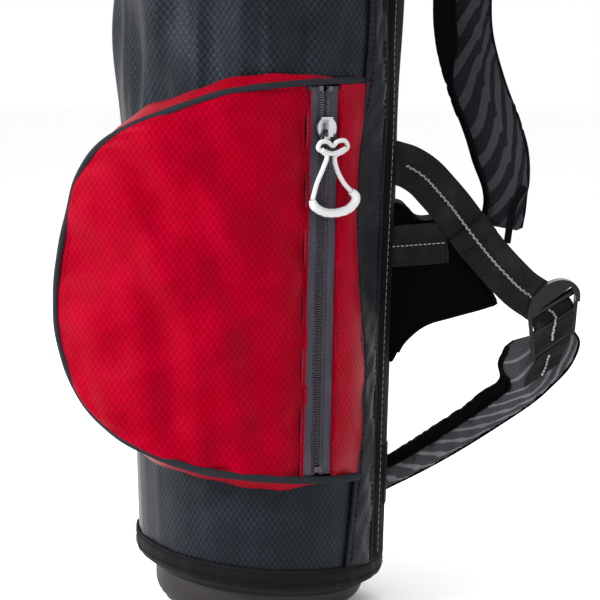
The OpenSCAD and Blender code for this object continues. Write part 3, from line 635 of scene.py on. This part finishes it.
strip_on_tube("spine_facing_near", facing_edge, -25.2, 0, STRIP_TOP, 1.5, FACING, ["spine_facing"],
              low_edge=STRIP_FOOT, slot="shell_fabric", wavy=0.55, crown=0.7, crumple=0.38)
strip_on_tube("spine_facing_far", 25.2, 38.5, 0, STRIP_TOP, 1.5, FACING, low_edge=STRIP_FOOT,
              slot="shell_fabric")
strip_on_tube("spine_web", -25.4, 25.4, 0, STRIP_TOP, 2.1, BINDING, ["spine_panel"], low_edge=STRIP_FOOT,
              slot="webbing")
welts = Shape()
for a, size in ((facing_edge, 1.25), (-25.4, 0.85), (25.4, 0.85), (38.3, 0.85)):
    path, out = line_on_tube(a, facing_low(a), STRIP_TOP, 1.1)
    welts.sweep(path, size, 8)
welts.make("spine_welts", FACING, slot="webbing")
seams = Shape()
for a, off in ((beside_facing(2.6), 1.75), (-28.2, 1.75), (35.6, 1.75), (28.2, 1.75)):
    path, out = line_on_tube(a, facing_low(a) + 2, 560, off)
    seams.stitches(path, out, 2.6, 1.0, 0.26)
seams.make("spine_seams", THREAD, slot="webbing")
white = Shape()
for a in (-19.5, 19.5):
    path, out = line_on_tube(a, facing_low(a) + 2, 560, 2.3)
    white.stitches(path, out, 3.0, 0.9, 0.16)
white.make("spine_white_seams", WHITE_THREAD, slot="webbing")


# ---------------------------------------------------------------- band round the lower edge
section = np.array([[0.35, 36.7], [0.95, 37.1], [1.5, 36.6], [1.65, 34.0], [1.6, 30.6], [1.45, 27.8],
                    [0.7, 25.6], [-2.6, 23.2], [-6.0, 20.8], [-8.3, 19.3], [-8.9, 20.0], [-8.4, 21.1],
                    [-5.0, 23.5], [-1.8, 25.9], [-0.1, 28.0], [0.15, 31.5]])
rows = []
for a in az[::2]:
    wobble = 0.18 * math.sin(23 * a) + 0.12 * math.sin(41 * a + 1)
    r = BAND_R + 0.4 + section[:, 0] + wobble * (section[:, 1] > 25)
    z = section[:, 1] + EDGE_RISE * r * math.cos(a - EDGE_AZ)
    rows.append(np.stack([r * math.cos(a), r * math.sin(a), z], 1))
rows = np.array(rows + [rows[0]])
run = np.linspace(0, TAU, len(rows)) * BAND_R
band_uv = np.stack([np.broadcast_to(run[:, None], rows.shape[:2]),
                    np.broadcast_to(lengths(section)[None], rows.shape[:2])], -1)
band = Shape()
band.grid(rows, band_uv, wrap=True, flip=True)
band.make("base_band_web", BAND, replaces=["base_band"], slot="webbing")
trim = Shape()
for c, r in ((35.1, 72.1), (28.9, 72.0)):
    a = np.linspace(0, TAU, 900)
    path = np.stack([r * np.cos(a), r * np.sin(a), edge_z(c, r, a)], 1)
    trim.stitches(path, np.stack([np.cos(a), np.sin(a), 0 * a], 1), 2.6, 1.1, 0.24)
trim.make("base_band_seams", THREAD, slot="webbing")


# ---------------------------------------------------------------- ball pocket
POCKET_CLOTH = 1.2
front = curve(FRONT, 12)
rim = resample(curve(POCKET_EDGE, 10), 2.0)
front_x = front[::-1, 0]
front_y = front[::-1, 1]
front_run = lengths(front[::-1])


def front_at(x):
    """y of the pocket front in plan"""
    return np.interp(x, front_x, front_y)


def front_out(x):
    """outward direction of the pocket front in plan"""
    d = np.stack([np.ones_like(x), (front_at(x + 1.5) - front_at(x - 1.5)) / 3.0], -1)
    d = unit(d)
    return np.stack([d[..., 1], -d[..., 0]], -1)


def pocket_point(x, z, off):
    """a point off millimetres in front of the pocket"""
    n = front_out(x)
    return np.stack([x + n[..., 0] * off, front_at(x) + n[..., 1] * off, z], -1)


ZIP_U = np.array([math.cos(ZIP_TURN), math.sin(ZIP_TURN)])
ZIP_N = np.array([math.sin(ZIP_TURN), -math.cos(ZIP_TURN)])


def at_zip(x, out, z):
    """a point in the zip's own frame: x across, out from the cloth, z up"""
    x, out, z = (np.asarray(q, float) for q in np.broadcast_arrays(x, out, z))
    x = x + (z - ZIP_REF) * ZIP_LEAN
    return np.stack([ZIP_MID[0] + ZIP_U[0] * x + ZIP_N[0] * out,
                     ZIP_MID[1] + ZIP_U[1] * x + ZIP_N[1] * out, z], -1)


ZIP_HALF = 9.9
ZIP_LEFT = ZIP_MID[0] - ZIP_HALF * ZIP_U[0]


def swell(s, t):
    """how far the filled pocket's front stands out, 0 at its edges"""
    return (np.clip(4 * s * (1 - s), 0, 1) ** 0.6) * (np.clip(4 * t * (1 - t), 0, 1) ** 0.5)


# main front: one row for each point of the rim, from the rim to the zip
left = rim[(rim[:, 0] < ZIP_LEFT - 0.5)]
s = np.linspace(0, 1, 90)[None]
x = left[:, 0:1] + (ZIP_LEFT - left[:, 0:1]) * s
z = np.broadcast_to(left[:, 1:2], x.shape)
depth_in = np.minimum(np.abs(x - left[:, 0:1]), 40) / 40
height_t = (z - 82) / (300 - 82)
puff = 4.6 * swell(np.clip((x + 112) / 137, 0, 1), height_t)
mild = swell(np.clip((x + 112) / 137, 0, 1), height_t)
bend = 2.2 * np.sin(x / 31.0 + 1.0) + 1.6 * np.sin(z / 37.0)
puff += mild * (2.3 * np.sin((0.62 * x + 0.78 * z) / 12.5 + bend)
                + 1.4 * np.sin((0.3 * x - z) / 9.0 + 0.7 * bend + 2))
puff += mild * 0.5 * np.sin((x + 0.35 * z) / 4.6 + bend)
creases = ((0.75 * np.sin(x / 7.0 + 1.5 * np.sin(z / 34.0)) + 0.4 * np.sin(x / 3.9 + z / 60.0 + 2))
           * smooth(240 - z, 0, 150))
creases += 1.1 * np.sin(z / 5.2 + x / 15.0) * np.exp(-(ZIP_LEFT - x) / 10.0)
creases += 0.35 * np.sin((x - z) / 11.0) * smooth(-x, 40, 95)
around = lengths(left)[:, None]
pucker = (0.8 * np.sin(around / 3.1 + np.sin(around / 17.0)) * np.exp(-np.abs(x - left[:, 0:1]) / 9.0)
          * smooth(depth_in, 0, 0.12))
face = pocket_point(x, z, puff - 0.6 + pucker + creases * smooth(depth_in, 0, 0.25))
face_uv = np.stack([np.interp(x, front_x, front_run), z], -1)
panel = Shape().grid(face, face_uv, flip=True).make("pocket_front", RED, replaces=["pocket_face"],
        slot="red_fabric")
thicken(panel, POCKET_CLOTH)

# narrow panel between the zip and the spine seam
def side_line(z, s, off):
    """from the zip's edge (s 0) straight to the seam at the facing (s 1), pushed out by off"""
    a = at_zip(ZIP_HALF, 0.0, z)
    b = on_tube(np.radians(facing_edge(z) + 1.4), z, 0.6 + folds(np.radians(facing_edge(z)), z))
    outward = np.array([math.cos(math.radians(-50)), math.sin(math.radians(-50)), 0.0])
    return a * (1 - s)[..., None] + b * s[..., None] + outward * np.asarray(off)[..., None]


z = np.broadcast_to(np.linspace(81.5, 301.0, 210)[:, None], (210, 26))
s = np.broadcast_to(np.linspace(0, 1, 26)[None], z.shape)
ends = smooth(4 * (z - 81.5) * (301 - z) / 219.5 ** 2, 0, 0.25)
bulge = (2.2 * np.sin(math.pi * s) + 0.6 * np.sin(z / 5.4 + s) * (1 - 0.6 * s)
         + 0.4 * np.sin(z / 17.0 + 1) * np.sin(math.pi * s))
side_panel = side_line(z, s, bulge * ends - 0.1)
side_uv = np.stack([np.interp(ZIP_LEFT, front_x, front_run) + 20 + 26 * s, z], -1)
piece = Shape().grid(side_panel, side_uv, flip=True).make("pocket_side", RED, replaces=["pocket_strip"],
        slot="red_fabric")
thicken(piece, POCKET_CLOTH)

# gusset from the rim back to the tube
rim = rim[rim[:, 0] < np.interp(rim[:, 1], facing_z, facing_x) + 0.8]
back_x = np.where(rim[:, 0] < -55, -55 + (rim[:, 0] + 55) * 20 / 55, rim[:, 0])
back_y = -np.sqrt(np.maximum(tube_r(rim[:, 1]) ** 2 - back_x ** 2, 60.0)) + 0.8
edge_x = rim[:, 0]
start = pocket_point(edge_x, rim[:, 1], -0.6)
end = np.stack([back_x, back_y, rim[:, 1]], 1)
slope = unit(np.gradient(rim, axis=0))
away = np.stack([-slope[:, 1], 0 * slope[:, 0], slope[:, 0]], 1) * -1.0
s = np.linspace(0, 1, 22)[None, :, None]
arc = lengths(rim)
full = ((0.2 + 0.8 * smooth(52 - rim[:, 0], 0, 40))
        * (0.35 + 0.65 * np.abs(away[:, 2]) + 0.12 * np.clip(-away[:, 2], 0, 1)))
bulge = ((full * (7.0 + 0.6 * np.sin(arc / 9.0) + 0.35 * np.sin(arc / 3.7)))[:, None, None]
         * np.sin(math.pi * s) ** 0.8)
gusset = start[:, None] * (1 - s) + end[:, None] * s + away[:, None] * bulge
g_uv = np.stack([np.broadcast_to(arc[:, None], gusset.shape[:2]),
                 np.linalg.norm(gusset - start[:, None], axis=2)], -1)
piece = Shape().grid(gusset, g_uv).make("pocket_gusset_cloth", RED, replaces=["pocket_gusset"],
                                        slot="red_fabric")
thicken(piece, POCKET_CLOTH)

# piping round the rim, with its sewn flange
outer = start + away * 0.5 + np.concatenate([front_out(edge_x) * 1.0, np.zeros((len(rim), 1))], 1)
pipe = Shape().sweep(outer, 1.8 + 0.35 * smooth(150 - rim[:, 1], 0, 50) + 0.1 * np.sin(arc / 4.0), 12)
pipe.make("pocket_piping_cord", PIPING, replaces=["pocket_piping"], slot="shell_fabric")
inset = pocket_point(edge_x + away[:, 0] * -3.4, rim[:, 1] - away[:, 2] * 3.4, 0.35)
hem = Shape()
keep = (rim[:, 0] < ZIP_LEFT - 3)
hem.stitches(inset[keep], np.concatenate([front_out(edge_x[keep]), np.zeros((keep.sum(), 1))], 1),
             2.2, 0.9, 0.2)

# the seams on each side of the zip, with a second row on its left
z_line = np.arange(84, 299, 1.0)
for x_at, lift in ((-11.8, 0.75), (-14.0, 0.75), (11.8, 0.75)):
    hem.stitches(at_zip(x_at, lift + 0.15 * np.sin(z_line / 6.5), z_line), [ZIP_N[0], ZIP_N[1], 0],
                 2.2, 0.9, 0.2)
hem.make("pocket_seams", RED_THREAD, slot="red_fabric")
fold = Shape()
for x_at, r in ((-9.9, 0.9), (9.9, 0.9)):
    fold.sweep(at_zip(x_at, 0.35 + 0.2 * np.sin(z_line / 6.5 + x_at), z_line), r, 8)
fold.make("zip_edge_folds", RED, slot="red_fabric")

# ---------------------------------------------------------------- zip
tape = Shape()
for side in (-1, 1):
    xs = np.linspace(1.4, 11.0, 14)[None] * side
    zs = np.arange(85.0, 300.6, 1.2)[:, None]
    wave = -0.75 + 0.14 * np.sin(zs / 7.0 + xs)
    p = at_zip(xs + 0 * zs, wave, zs + 0 * xs)
    uv = np.stack([zs + 0 * xs, xs + 0 * zs], -1)
    tape.grid(p, uv, flip=side > 0)
piece = tape.make("zip_tape_cloth", TAPE, replaces=["zip_tapes"], slot="tape")
thicken(piece, 0.7)


def coil_x(z):
    """half gap between the rows: together below the slider, apart above it"""
    return 1.05 + 0.65 * smooth(z, SLIDER_Z - 3, SLIDER_Z + 8)


# the coil: one open loop of wire for each tooth, the two rows half a pitch apart
COIL_PITCH, COIL_WIRE, COIL_REACH = 1.36, 0.36, 1.35
coil = Shape()
turn = np.linspace(0.15 * math.pi, 1.85 * math.pi, 7)
for side in (-1, 1):
    for z0 in np.arange(91.0, 297.0, COIL_PITCH):
        z0 += COIL_PITCH / 2 * (side > 0)
        gap = float(coil_x(np.array(z0)))
        loop = at_zip(side * (gap - COIL_REACH * np.cos(turn)), 0.35 + 0.95 * np.sin(turn),
                      z0 + 0.22 * np.sin(turn))
        coil.sweep(loop, COIL_WIRE, 5)
coil.make("zip_coil_teeth", COIL, replaces=["zip_coil"], slot="tape")
zip_seams = Shape()
for side in (-1, 1):
    zs = np.arange(88.0, 298.0, 1.0)
    zip_seams.stitches(at_zip(side * (coil_x(zs) + 2.6), -0.1, zs), [ZIP_N[0], ZIP_N[1], 0], 1.6, 0.8, 0.16)
zip_seams.make("zip_seams", THREAD, slot="tape")

# cord pull: a loop hitched on the ring, with a moulded grip on its ends
PULL_OUT = 6.65


def pull_line(points, n=8, out=PULL_OUT):
    q = resample(curve(points, n), 0.7)
    return at_zip(q[:, 0], out, SLIDER_Z + q[:, 1])


CORD_D = 2.6
pull_path = pull_line([[-11.2, -38.6], [-8.6, -30], [-4.6, -21.6], [-2.2, -15.4], [-5, -12.8], [-8.2, -10.6],
                       [-6.4, -7.4], [-2, -7.4], [1.4, -9.6], [4.8, -7.2], [9.4, -7], [11.4, -10.4], [8, -13],
                       [3, -15.6], [4.6, -22.6], [9, -29.6], [14.2, -34.6]])
pull = Shape().sweep(pull_path, CORD_D / 2, 14).make("pull_loop", WHITE_CORD, "zip_pull", ["pull_cord"],
        "white_cord")
hitch = pull_line([[-6.6, -11.4], [-3.0, -13.0], [0.6, -13.8], [4.4, -13.0], [9.0, -11.2]],
                  out=PULL_OUT + 1.2)
hitch = Shape().sweep(hitch, 1.25, 12).make("pull_hitch", WHITE_CORD, "zip_pull", slot="white_cord")
grip = pull_line([[-11.3, -39], [-9.6, -42.4], [-3.5, -45.6], [4.5, -46.4], [12.5, -44.8], [17.2, -41],
                  [17.6, -37.6], [14.5, -34.9]])
u = np.linspace(0, 1, len(grip))
knurl = (2.45 - 0.5 * smooth(np.abs(u - 0.5), 0.42, 0.5)
         - 0.16 * (np.sin(u * 60) > 0.55) * (np.abs(u - 0.5) < 0.3))
pull_handle = Shape().sweep(grip, knurl, 16).make("pull_handle", WHITE_GRIP, "zip_pull", ["pull_grip"],
        "white_plastic")


# ---------------------------------------------------------------- harness
STUFFED = []
PAD_SIDES = 32


def stuffed(piece, pinned, cap):
    """marks a padded cover for the cloth settling below; its seams stay where they are"""
    piece.vertex_groups.new(name="seam").add([int(i) for i in pinned], 1.0, "REPLACE")
    STUFFED.append((piece, cap))


def settle(pressure=4.0, frames=20):
    """swells every stuffed cover as cloth filled with foam; each point moves at most its cover's cap"""
    for piece, _ in STUFFED:
        cloth = piece.modifiers.new("stuffing", "CLOTH").settings
        cloth.quality = 6
        cloth.mass = 0.25
        cloth.tension_stiffness = cloth.compression_stiffness = 18.0
        cloth.shear_stiffness = 6.0
        cloth.bending_stiffness = 0.4
        cloth.use_pressure = True
        cloth.uniform_pressure_force = pressure
        cloth.shrink_min = -0.05
        cloth.effector_weights.gravity = 0.0
        cloth.vertex_group_mass = "seam"
    for f in range(1, frames + 1):
        bpy.context.scene.frame_set(f)
    graph = bpy.context.evaluated_depsgraph_get()
    for piece, cap in STUFFED:
        n = len(piece.data.vertices) * 3
        before, after = np.empty(n), np.empty(n)
        piece.data.vertices.foreach_get("co", before)
        piece.evaluated_get(graph).data.vertices.foreach_get("co", after)
        move = (after - before).reshape(-1, 3) / MM
        size = np.linalg.norm(move, axis=1, keepdims=True)
        move *= np.tanh(size / cap) * cap / np.maximum(size, 1e-9)
        piece.modifiers.remove(piece.modifiers["stuffing"])
        piece.data.vertices.foreach_set("co", before + move.ravel() * MM)
        piece.data.update()
    bpy.context.scene.frame_set(1)


def pad(name, left_line, right_line, y, thick, mat, replaces, slot, power=3.0, tilt=0.0, fill=0.55):
    """a padded strap between two edge lines drawn in x and z"""
    a, b = np.asarray(left_line, float), np.asarray(right_line, float)
    mid, half = (a + b) / 2, (b - a) / 2
    n = len(mid)
    out = np.stack([np.zeros(n), np.full(n, -thick / 2), np.zeros(n)], 1)
    across = np.stack([half[:, 0], np.full(n, tilt), half[:, 1]], 1)
    piece = Shape().loft(xz(mid, y), across, out, power, PAD_SIDES).make(name, mat, "bag", replaces, slot)
    rings = len(piece.data.vertices) // PAD_SIDES
    index = np.arange(rings * PAD_SIDES).reshape(rings, PAD_SIDES)
    pinned = np.concatenate([index[:, [0, 15, 16, 31]].ravel(), index[:5].ravel(), index[-5:].ravel()])
    stuffed(piece, pinned, 1.5)
    return piece


def even(points, n, steps=60):
    """the curve through points as a fixed number of even steps"""
    q = curve(points, n)
    s = lengths(q)
    t = np.linspace(0, s[-1], steps)
    return np.stack([np.interp(t, s, q[:, k]) for k in range(2)], 1)


def offset(line, d):
    """the flat line moved sideways by d"""
    g = unit(np.gradient(line, axis=0))
    return line + np.stack([-g[:, 1], g[:, 0]], 1) * d


def tape_piece(shape, centre, wide, thick, across_dir=None, y=0.0, sides=20, power=7.0, wide_dir=None):
    """flat webbing that runs along a line drawn in x and z; across_dir None keeps its width in that plane"""
    c = np.asarray(centre, float)
    g = unit(np.gradient(c, axis=0))
    normal = np.stack([-g[:, 1], np.zeros(len(c)), g[:, 0]], 1)
    if wide_dir is not None:
        normal = xz(wide_dir, 0.0)
    depth = np.tile([0.0, -1.0, 0.0], (len(c), 1))
    a, o = (normal, depth) if across_dir is None else (depth, normal)
    shape.loft(xz(c, y), a * np.reshape(wide, (-1, 1)) / 2, o * thick / 2, power, sides, ends=2,
               round_end=0.6)
    return shape


# depth of the middle and thickness of a pad's striped cover and of its back
COVER, BACK = (-4.9, 8.2), (-0.6, 8.6)
UPPER = [[140, 219], [142, 232], [141, 249], [135, 272], [125.5, 298], [118.5, 324], [117, 347],
         [119, 376], [122, 408], [121, 442], [114, 478], [107, 497]]
upper = even(UPPER, 6, 150)
half_wide = (12.2 + 4.1 * smooth(upper[:, 1], 230, 262))[:, None]
half_across = (offset(upper, 1) - upper) * half_wide
edge_a, edge_b = upper + half_across, upper - half_across
share = 0.09 + 0.27 * smooth(upper[:, 1], 300, 330) * (1 - smooth(upper[:, 1], 400, 450))
inner = edge_a + (edge_b - edge_a) * share[:, None]
pad("upper_pad_cover", inner, edge_b, *COVER, STRIPES, ["upper_pad"], "pad_fabric")
pad("upper_pad_back", edge_a, edge_b + (edge_a - edge_b) * 0.06, *BACK, BINDING, ["upper_backing"], "webbing")
PAD_B_OUT = [[181, 158], [185.4, 150], [180, 136.5], [169, 124.5], [159, 115.6], [143, 104.5], [118, 88.5],
             [96, 76], [73, 64.5]]
PAD_B_IN = [[143, 147.5], [138.8, 137.5], [139.4, 128], [128, 119], [117, 110.5], [95, 96], [73.5, 82.6]]
outer_b, inner_b = even(PAD_B_OUT, 8, 110), even(PAD_B_IN, 8, 110)
share = 0.05 + 0.3 * smooth(np.linspace(0, 1, 110), 0.14, 0.3)
band_b = inner_b + (outer_b - inner_b) * share[:, None]
pad("lower_pad_cover", band_b[::-1], outer_b[::-1], *COVER, STRIPES_LOW, ["lower_pad"], "pad_fabric")
pad("lower_pad_back", inner_b[::-1], (outer_b + (inner_b - outer_b) * 0.06)[::-1], *BACK, BINDING,
    ["lower_backing"], "webbing")

edging = Shape()
for line in (inner, offset(edge_b, 0.6), band_b, outer_b):
    edging.sweep(xz(line, -6.6), 0.8, 8)
edging.make("pad_edging", BINDING, slot="webbing")

DIAGONAL = [[72, 256.5], [79, 254.6], [86.8, 252], [95.1, 246.5], [102.5, 238.7], [110.8, 229.1],
            [118.3, 219.2], [126.4, 208.6], [134.9, 198.4], [143.3, 189.4], [151.4, 181.6], [159.4, 176.2],
            [165.4, 172.4], [169.4, 167.2], [170.0, 159], [169.8, 151.6]]
LOCK_SLOPE = np.array([math.cos(math.radians(35)), math.sin(math.radians(35))])
diagonal = even(DIAGONAL, 6, 140)
run = lengths(diagonal)
in_lock = smooth(run, 118, 140)[:, None]
run_y = np.interp(run, [0, 116, 128, 137, 143, 149, 155, 161, 168],
                  [-11.6, -11.6, -13.2, -14.2, -17.0, -14.8, -17.0, -14.8, -13.0])
web_dir = unit((offset(diagonal, 1) - diagonal) * (1 - in_lock) + LOCK_SLOPE * in_lock)
web = Shape()
tape_piece(web, diagonal, 25.0 + 2.4 * in_lock[:, 0], 1.7, y=run_y, wide_dir=web_dir)
# the folded end that is sewn down on the strap
doubled = (run > 62) & (run < 76)
tape_piece(web, diagonal[doubled], 25.6, 1.6, y=-12.7)
web.make("shoulder_web", WEB, replaces=["shoulder_webbing"], slot="webbing")
dashes = Shape()
line_y = run_y - 0.95 - 0.95 * doubled
wander = (diagonal + web_dir
          * (0.45 * np.sin(run * TAU / 3.4) + 1.2 * in_lock[:, 0] * np.sin(run / 3.0))[:, None])
dashes.stitches(xz(wander[run > 12], line_y[run > 12]), [0, -1, 0], 1.7, 0.35, 0.72)
dashes.make("shoulder_web_seam", WHITE_THREAD, slot="webbing")
tacks = Shape()
for k in np.flatnonzero(doubled)[[1, -2]]:
    g = unit(diagonal[k + 1] - diagonal[k - 1])
    line = diagonal[k] + np.array([-g[1], g[0]]) * np.linspace(-11, 11, 60)[:, None]
    tacks.stitches(xz(line, -13.6), [0, -1, 0], 1.6, 0.5, 0.3)
tacks.make("shoulder_web_tacks", THREAD, slot="webbing")

small = Shape()
hip_line = even([[76.0, 206.4], [92, 207.6], [108.4, 208.8]], 6, 30)
tape_piece(small, hip_line, 24.0, 1.6, y=-10.6)
small.make("hip_web", WEB, replaces=["hip_webbing"], slot="webbing")
Shape().stitches(xz(hip_line, -11.6), [0, -1, 0], 2.0, 0.6, 0.42).make("hip_web_seam", WHITE_THREAD,
        slot="webbing")

loop = Shape()
loop_line = even([[163.2, 131.8], [164.6, 136.6], [166.6, 141.6], [168.8, 146.6], [169.8, 150.6]], 6, 40)
loop_y = np.interp(np.linspace(0, 1, 40), [0, 0.35, 0.72, 1], [-12.0, -13.0, -16.9, -13.4])
tape_piece(loop, loop_line, 25.5, 1.8, y=loop_y, wide_dir=np.tile(LOCK_SLOPE, (40, 1)))
loop_seam = loop_line + 1.1 * np.sin(np.linspace(0, 7, 40))[:, None] * LOCK_SLOPE
Shape().stitches(xz(loop_seam[:30], loop_y[:30] - 1.0), [0, -1, 0], 1.7, 0.4, 0.6).make(
    "lower_loop_seam", WHITE_THREAD, slot="webbing")
loop.make("lower_web_loop", WEB, replaces=["lower_loop"], slot="webbing")
tail = Shape()
tape_piece(tail, even([[152.6, 240.5], [147.4, 232], [144.9, 222.5], [143, 209]], 6, 40), 4.0, 2.4, y=-10.6)
tail.make("upper_web_tail", BINDING, replaces=["upper_tail"], slot="webbing")
top = Shape()
tape_piece(top, even([[108.0, 497], [101, 515], [94.5, 530], [91, 545], [90.1, 560]], 6, 60), 25.0, 1.7,
           across_dir="depth", y=-3.0)
top.make("upper_web", WEB, replaces=["upper_webbing"], slot="webbing")
anchor_a = np.linspace(-11.5, 13.5, 20)
z_a = np.linspace(57, 91, 40)
p = on_tube(np.radians(anchor_a)[None] + 0 * z_a[:, None], z_a[:, None] + 0 * anchor_a[None], 2.9)
uv = np.stack([z_a[:, None] + 0 * anchor_a[None], 1.25 * anchor_a[None] + 0 * z_a[:, None]], -1)
piece = Shape().grid(p, uv).make("lower_web_anchor", WEB, replaces=["lower_anchor"], slot="webbing")
thicken(piece, 1.3)

# hip pad: a crowned cushion of open mesh with a bound edge
HIP = [[75.6, 231], [84, 229.6], [93, 221], [108, 221], [115, 210], [122, 198], [136.4, 175.8],
       [133, 171.8], [112, 165.8], [96, 160.8], [84, 150.8], [76.5, 138.5], [73.5, 150], [73, 190],
       [73.5, 222], [75.6, 231]]
outline = resample(curve(HIP, 6), 2.2)[:-1]
centre = np.array([93.0, 192.0])
hip = Shape()
rings = []
for t in np.linspace(0.02, 1, 16):
    ring = centre + (outline - centre) * t
    rings.append(xz(ring, -8.0 - 3.0 * (1 - t ** 3.5) + 1.6 * smooth(np.array(t), 0.9, 1.0)))
side_rows = [xz(outline, y) for y in (-4, 4, 14, 24, 34, 43)]
back_rows = [xz(centre + (outline - centre) * t, 43 + 3.0 * (1 - t ** 3))
             for t in (0.95, 0.8, 0.5, 0.2, 0.02)]
stack = np.array(rings + side_rows + back_rows)
uv = np.stack([stack[..., 0], stack[..., 2]], -1)
wall = slice(len(rings), len(rings) + len(side_rows))
uv[wall, :, 0] = lengths(outline)[None]
uv[wall, :, 1] = stack[wall, :, 1]
hip.grid(stack, uv, wrap=True, flip=True)
piece = hip.make("hip_cushion", MESH, replaces=["hip_pad"], slot="webbing")
# the rows from the bound edge to the back stay where they are
stuffed(piece, np.arange(14 * len(outline), 23 * len(outline)), 1.6)
settle()
rim_line = Shape()
rim_line.sweep(xz(outline[: int(len(outline) * 0.62)], -8.2), 0.9, 8)
rim_line.stitches(xz(resample([[107.5, 207], [108.5, 172]], 1.0), -11.3), [0, -1, 0], 2.4, 1.0, 0.25)
rim_line.make("hip_binding", BINDING, slot="webbing")


# ---------------------------------------------------------------- carry handle and towel tab
def radial(points, az_deg, wide, thick, n=6, steps=60):
    """webbing drawn in distance from the axis and height, set in a compass direction"""
    q = even(points, n, steps)
    a = math.radians(az_deg)
    e = np.array([math.cos(a), math.sin(a), 0])
    t = np.array([-math.sin(a), math.cos(a), 0])
    c = q[:, 0:1] * e + q[:, 1:2] * np.array([0, 0, 1.0])
    g = unit(np.gradient(c, axis=0))
    normal = np.cross(g, t)
    return c, np.tile(t, (len(c), 1)) * wide / 2, normal * thick / 2


handle = Shape()
c, a, o = radial([[84.0, 371], [86, 384], [96, 402], [104, 425], [106, 448], [104, 471], [97, 492],
                  [88.5, 506], [87.6, 521]], -90, 24, 1.8)
handle.loft(c, a, o, 7.0, 20, ends=2)
handle.make("handle_web", WEB, replaces=["handle_webbing"], slot="webbing")
boxes = Shape()
for z0, r0 in ((376, 85.3), (512, 88.9)):
    for dz in (-4.5, 4.5):
        boxes.stitches(resample([[-9, -r0, z0 + dz], [9, -r0, z0 + dz]], 1.0), [0, -1, 0], 2.0, 0.8, 0.25)
boxes.make("handle_seams", WHITE_THREAD, slot="webbing")
tab = Shape()
c, a, o = radial([[86.8, 509], [87.6, 496], [90.0, 487], [90.6, 482.6], [88.1, 480.2], [85.9, 482.0],
                  [86.0, 490]], 62, 18, 1.3)
tab.loft(c, a, o, 7.0, 20, ends=2)
tab.make("towel_loop", WEB, replaces=["towel_tab"], slot="webbing")
strip_on_tube("collar_cuff_web", 0, 360, 564, 572.4, 1.3, BAND, ["collar_cuff"], wavy=0.0, slot="webbing")

# ---------------------------------------------------------------- hard parts keep their CAD shape
FINISH = [
    (BASE, "base_cup kick_plate top_collar"),
    (BLACK, "divider_bars handle_grip slider_ring ladder_lock upper_anchor leg_bracket"),
    (BLACK, "knuckle_left knuckle_right"),
    (BLACK, "clip_left clip_right rod_yoke rod_guides"),
    (STEEL, "collar_rivets leg_pins push_rod rod_pin arm_left arm_right hinge_pin"),
    (CHROME, "zip_slider towel_ring"),
    (POWDER, "leg_left leg_right"),
    (RUBBER, "foot_left foot_right"),
    (LINING, "divider_panel"),
    (GLASS_ROD, "stay_rods"),
    (COIL, "zip_stops")]
SOFT_EDGE, SLIDER_EDGE = 0.35, 0.25
for mat, names in FINISH:
    for name in names.split():
        part = nodes[name]
        for slot in part.material_slots:
            slot.material = mat
        bevel = part.modifiers.new("soft_edges", "BEVEL")
        bevel.width = (SLIDER_EDGE if name == "zip_slider" else SOFT_EDGE) * MM
        bevel.segments = 2
        bevel.limit_method = "ANGLE"
        bevel.angle_limit = math.radians(38)
        bevel.use_clamp_overlap = True
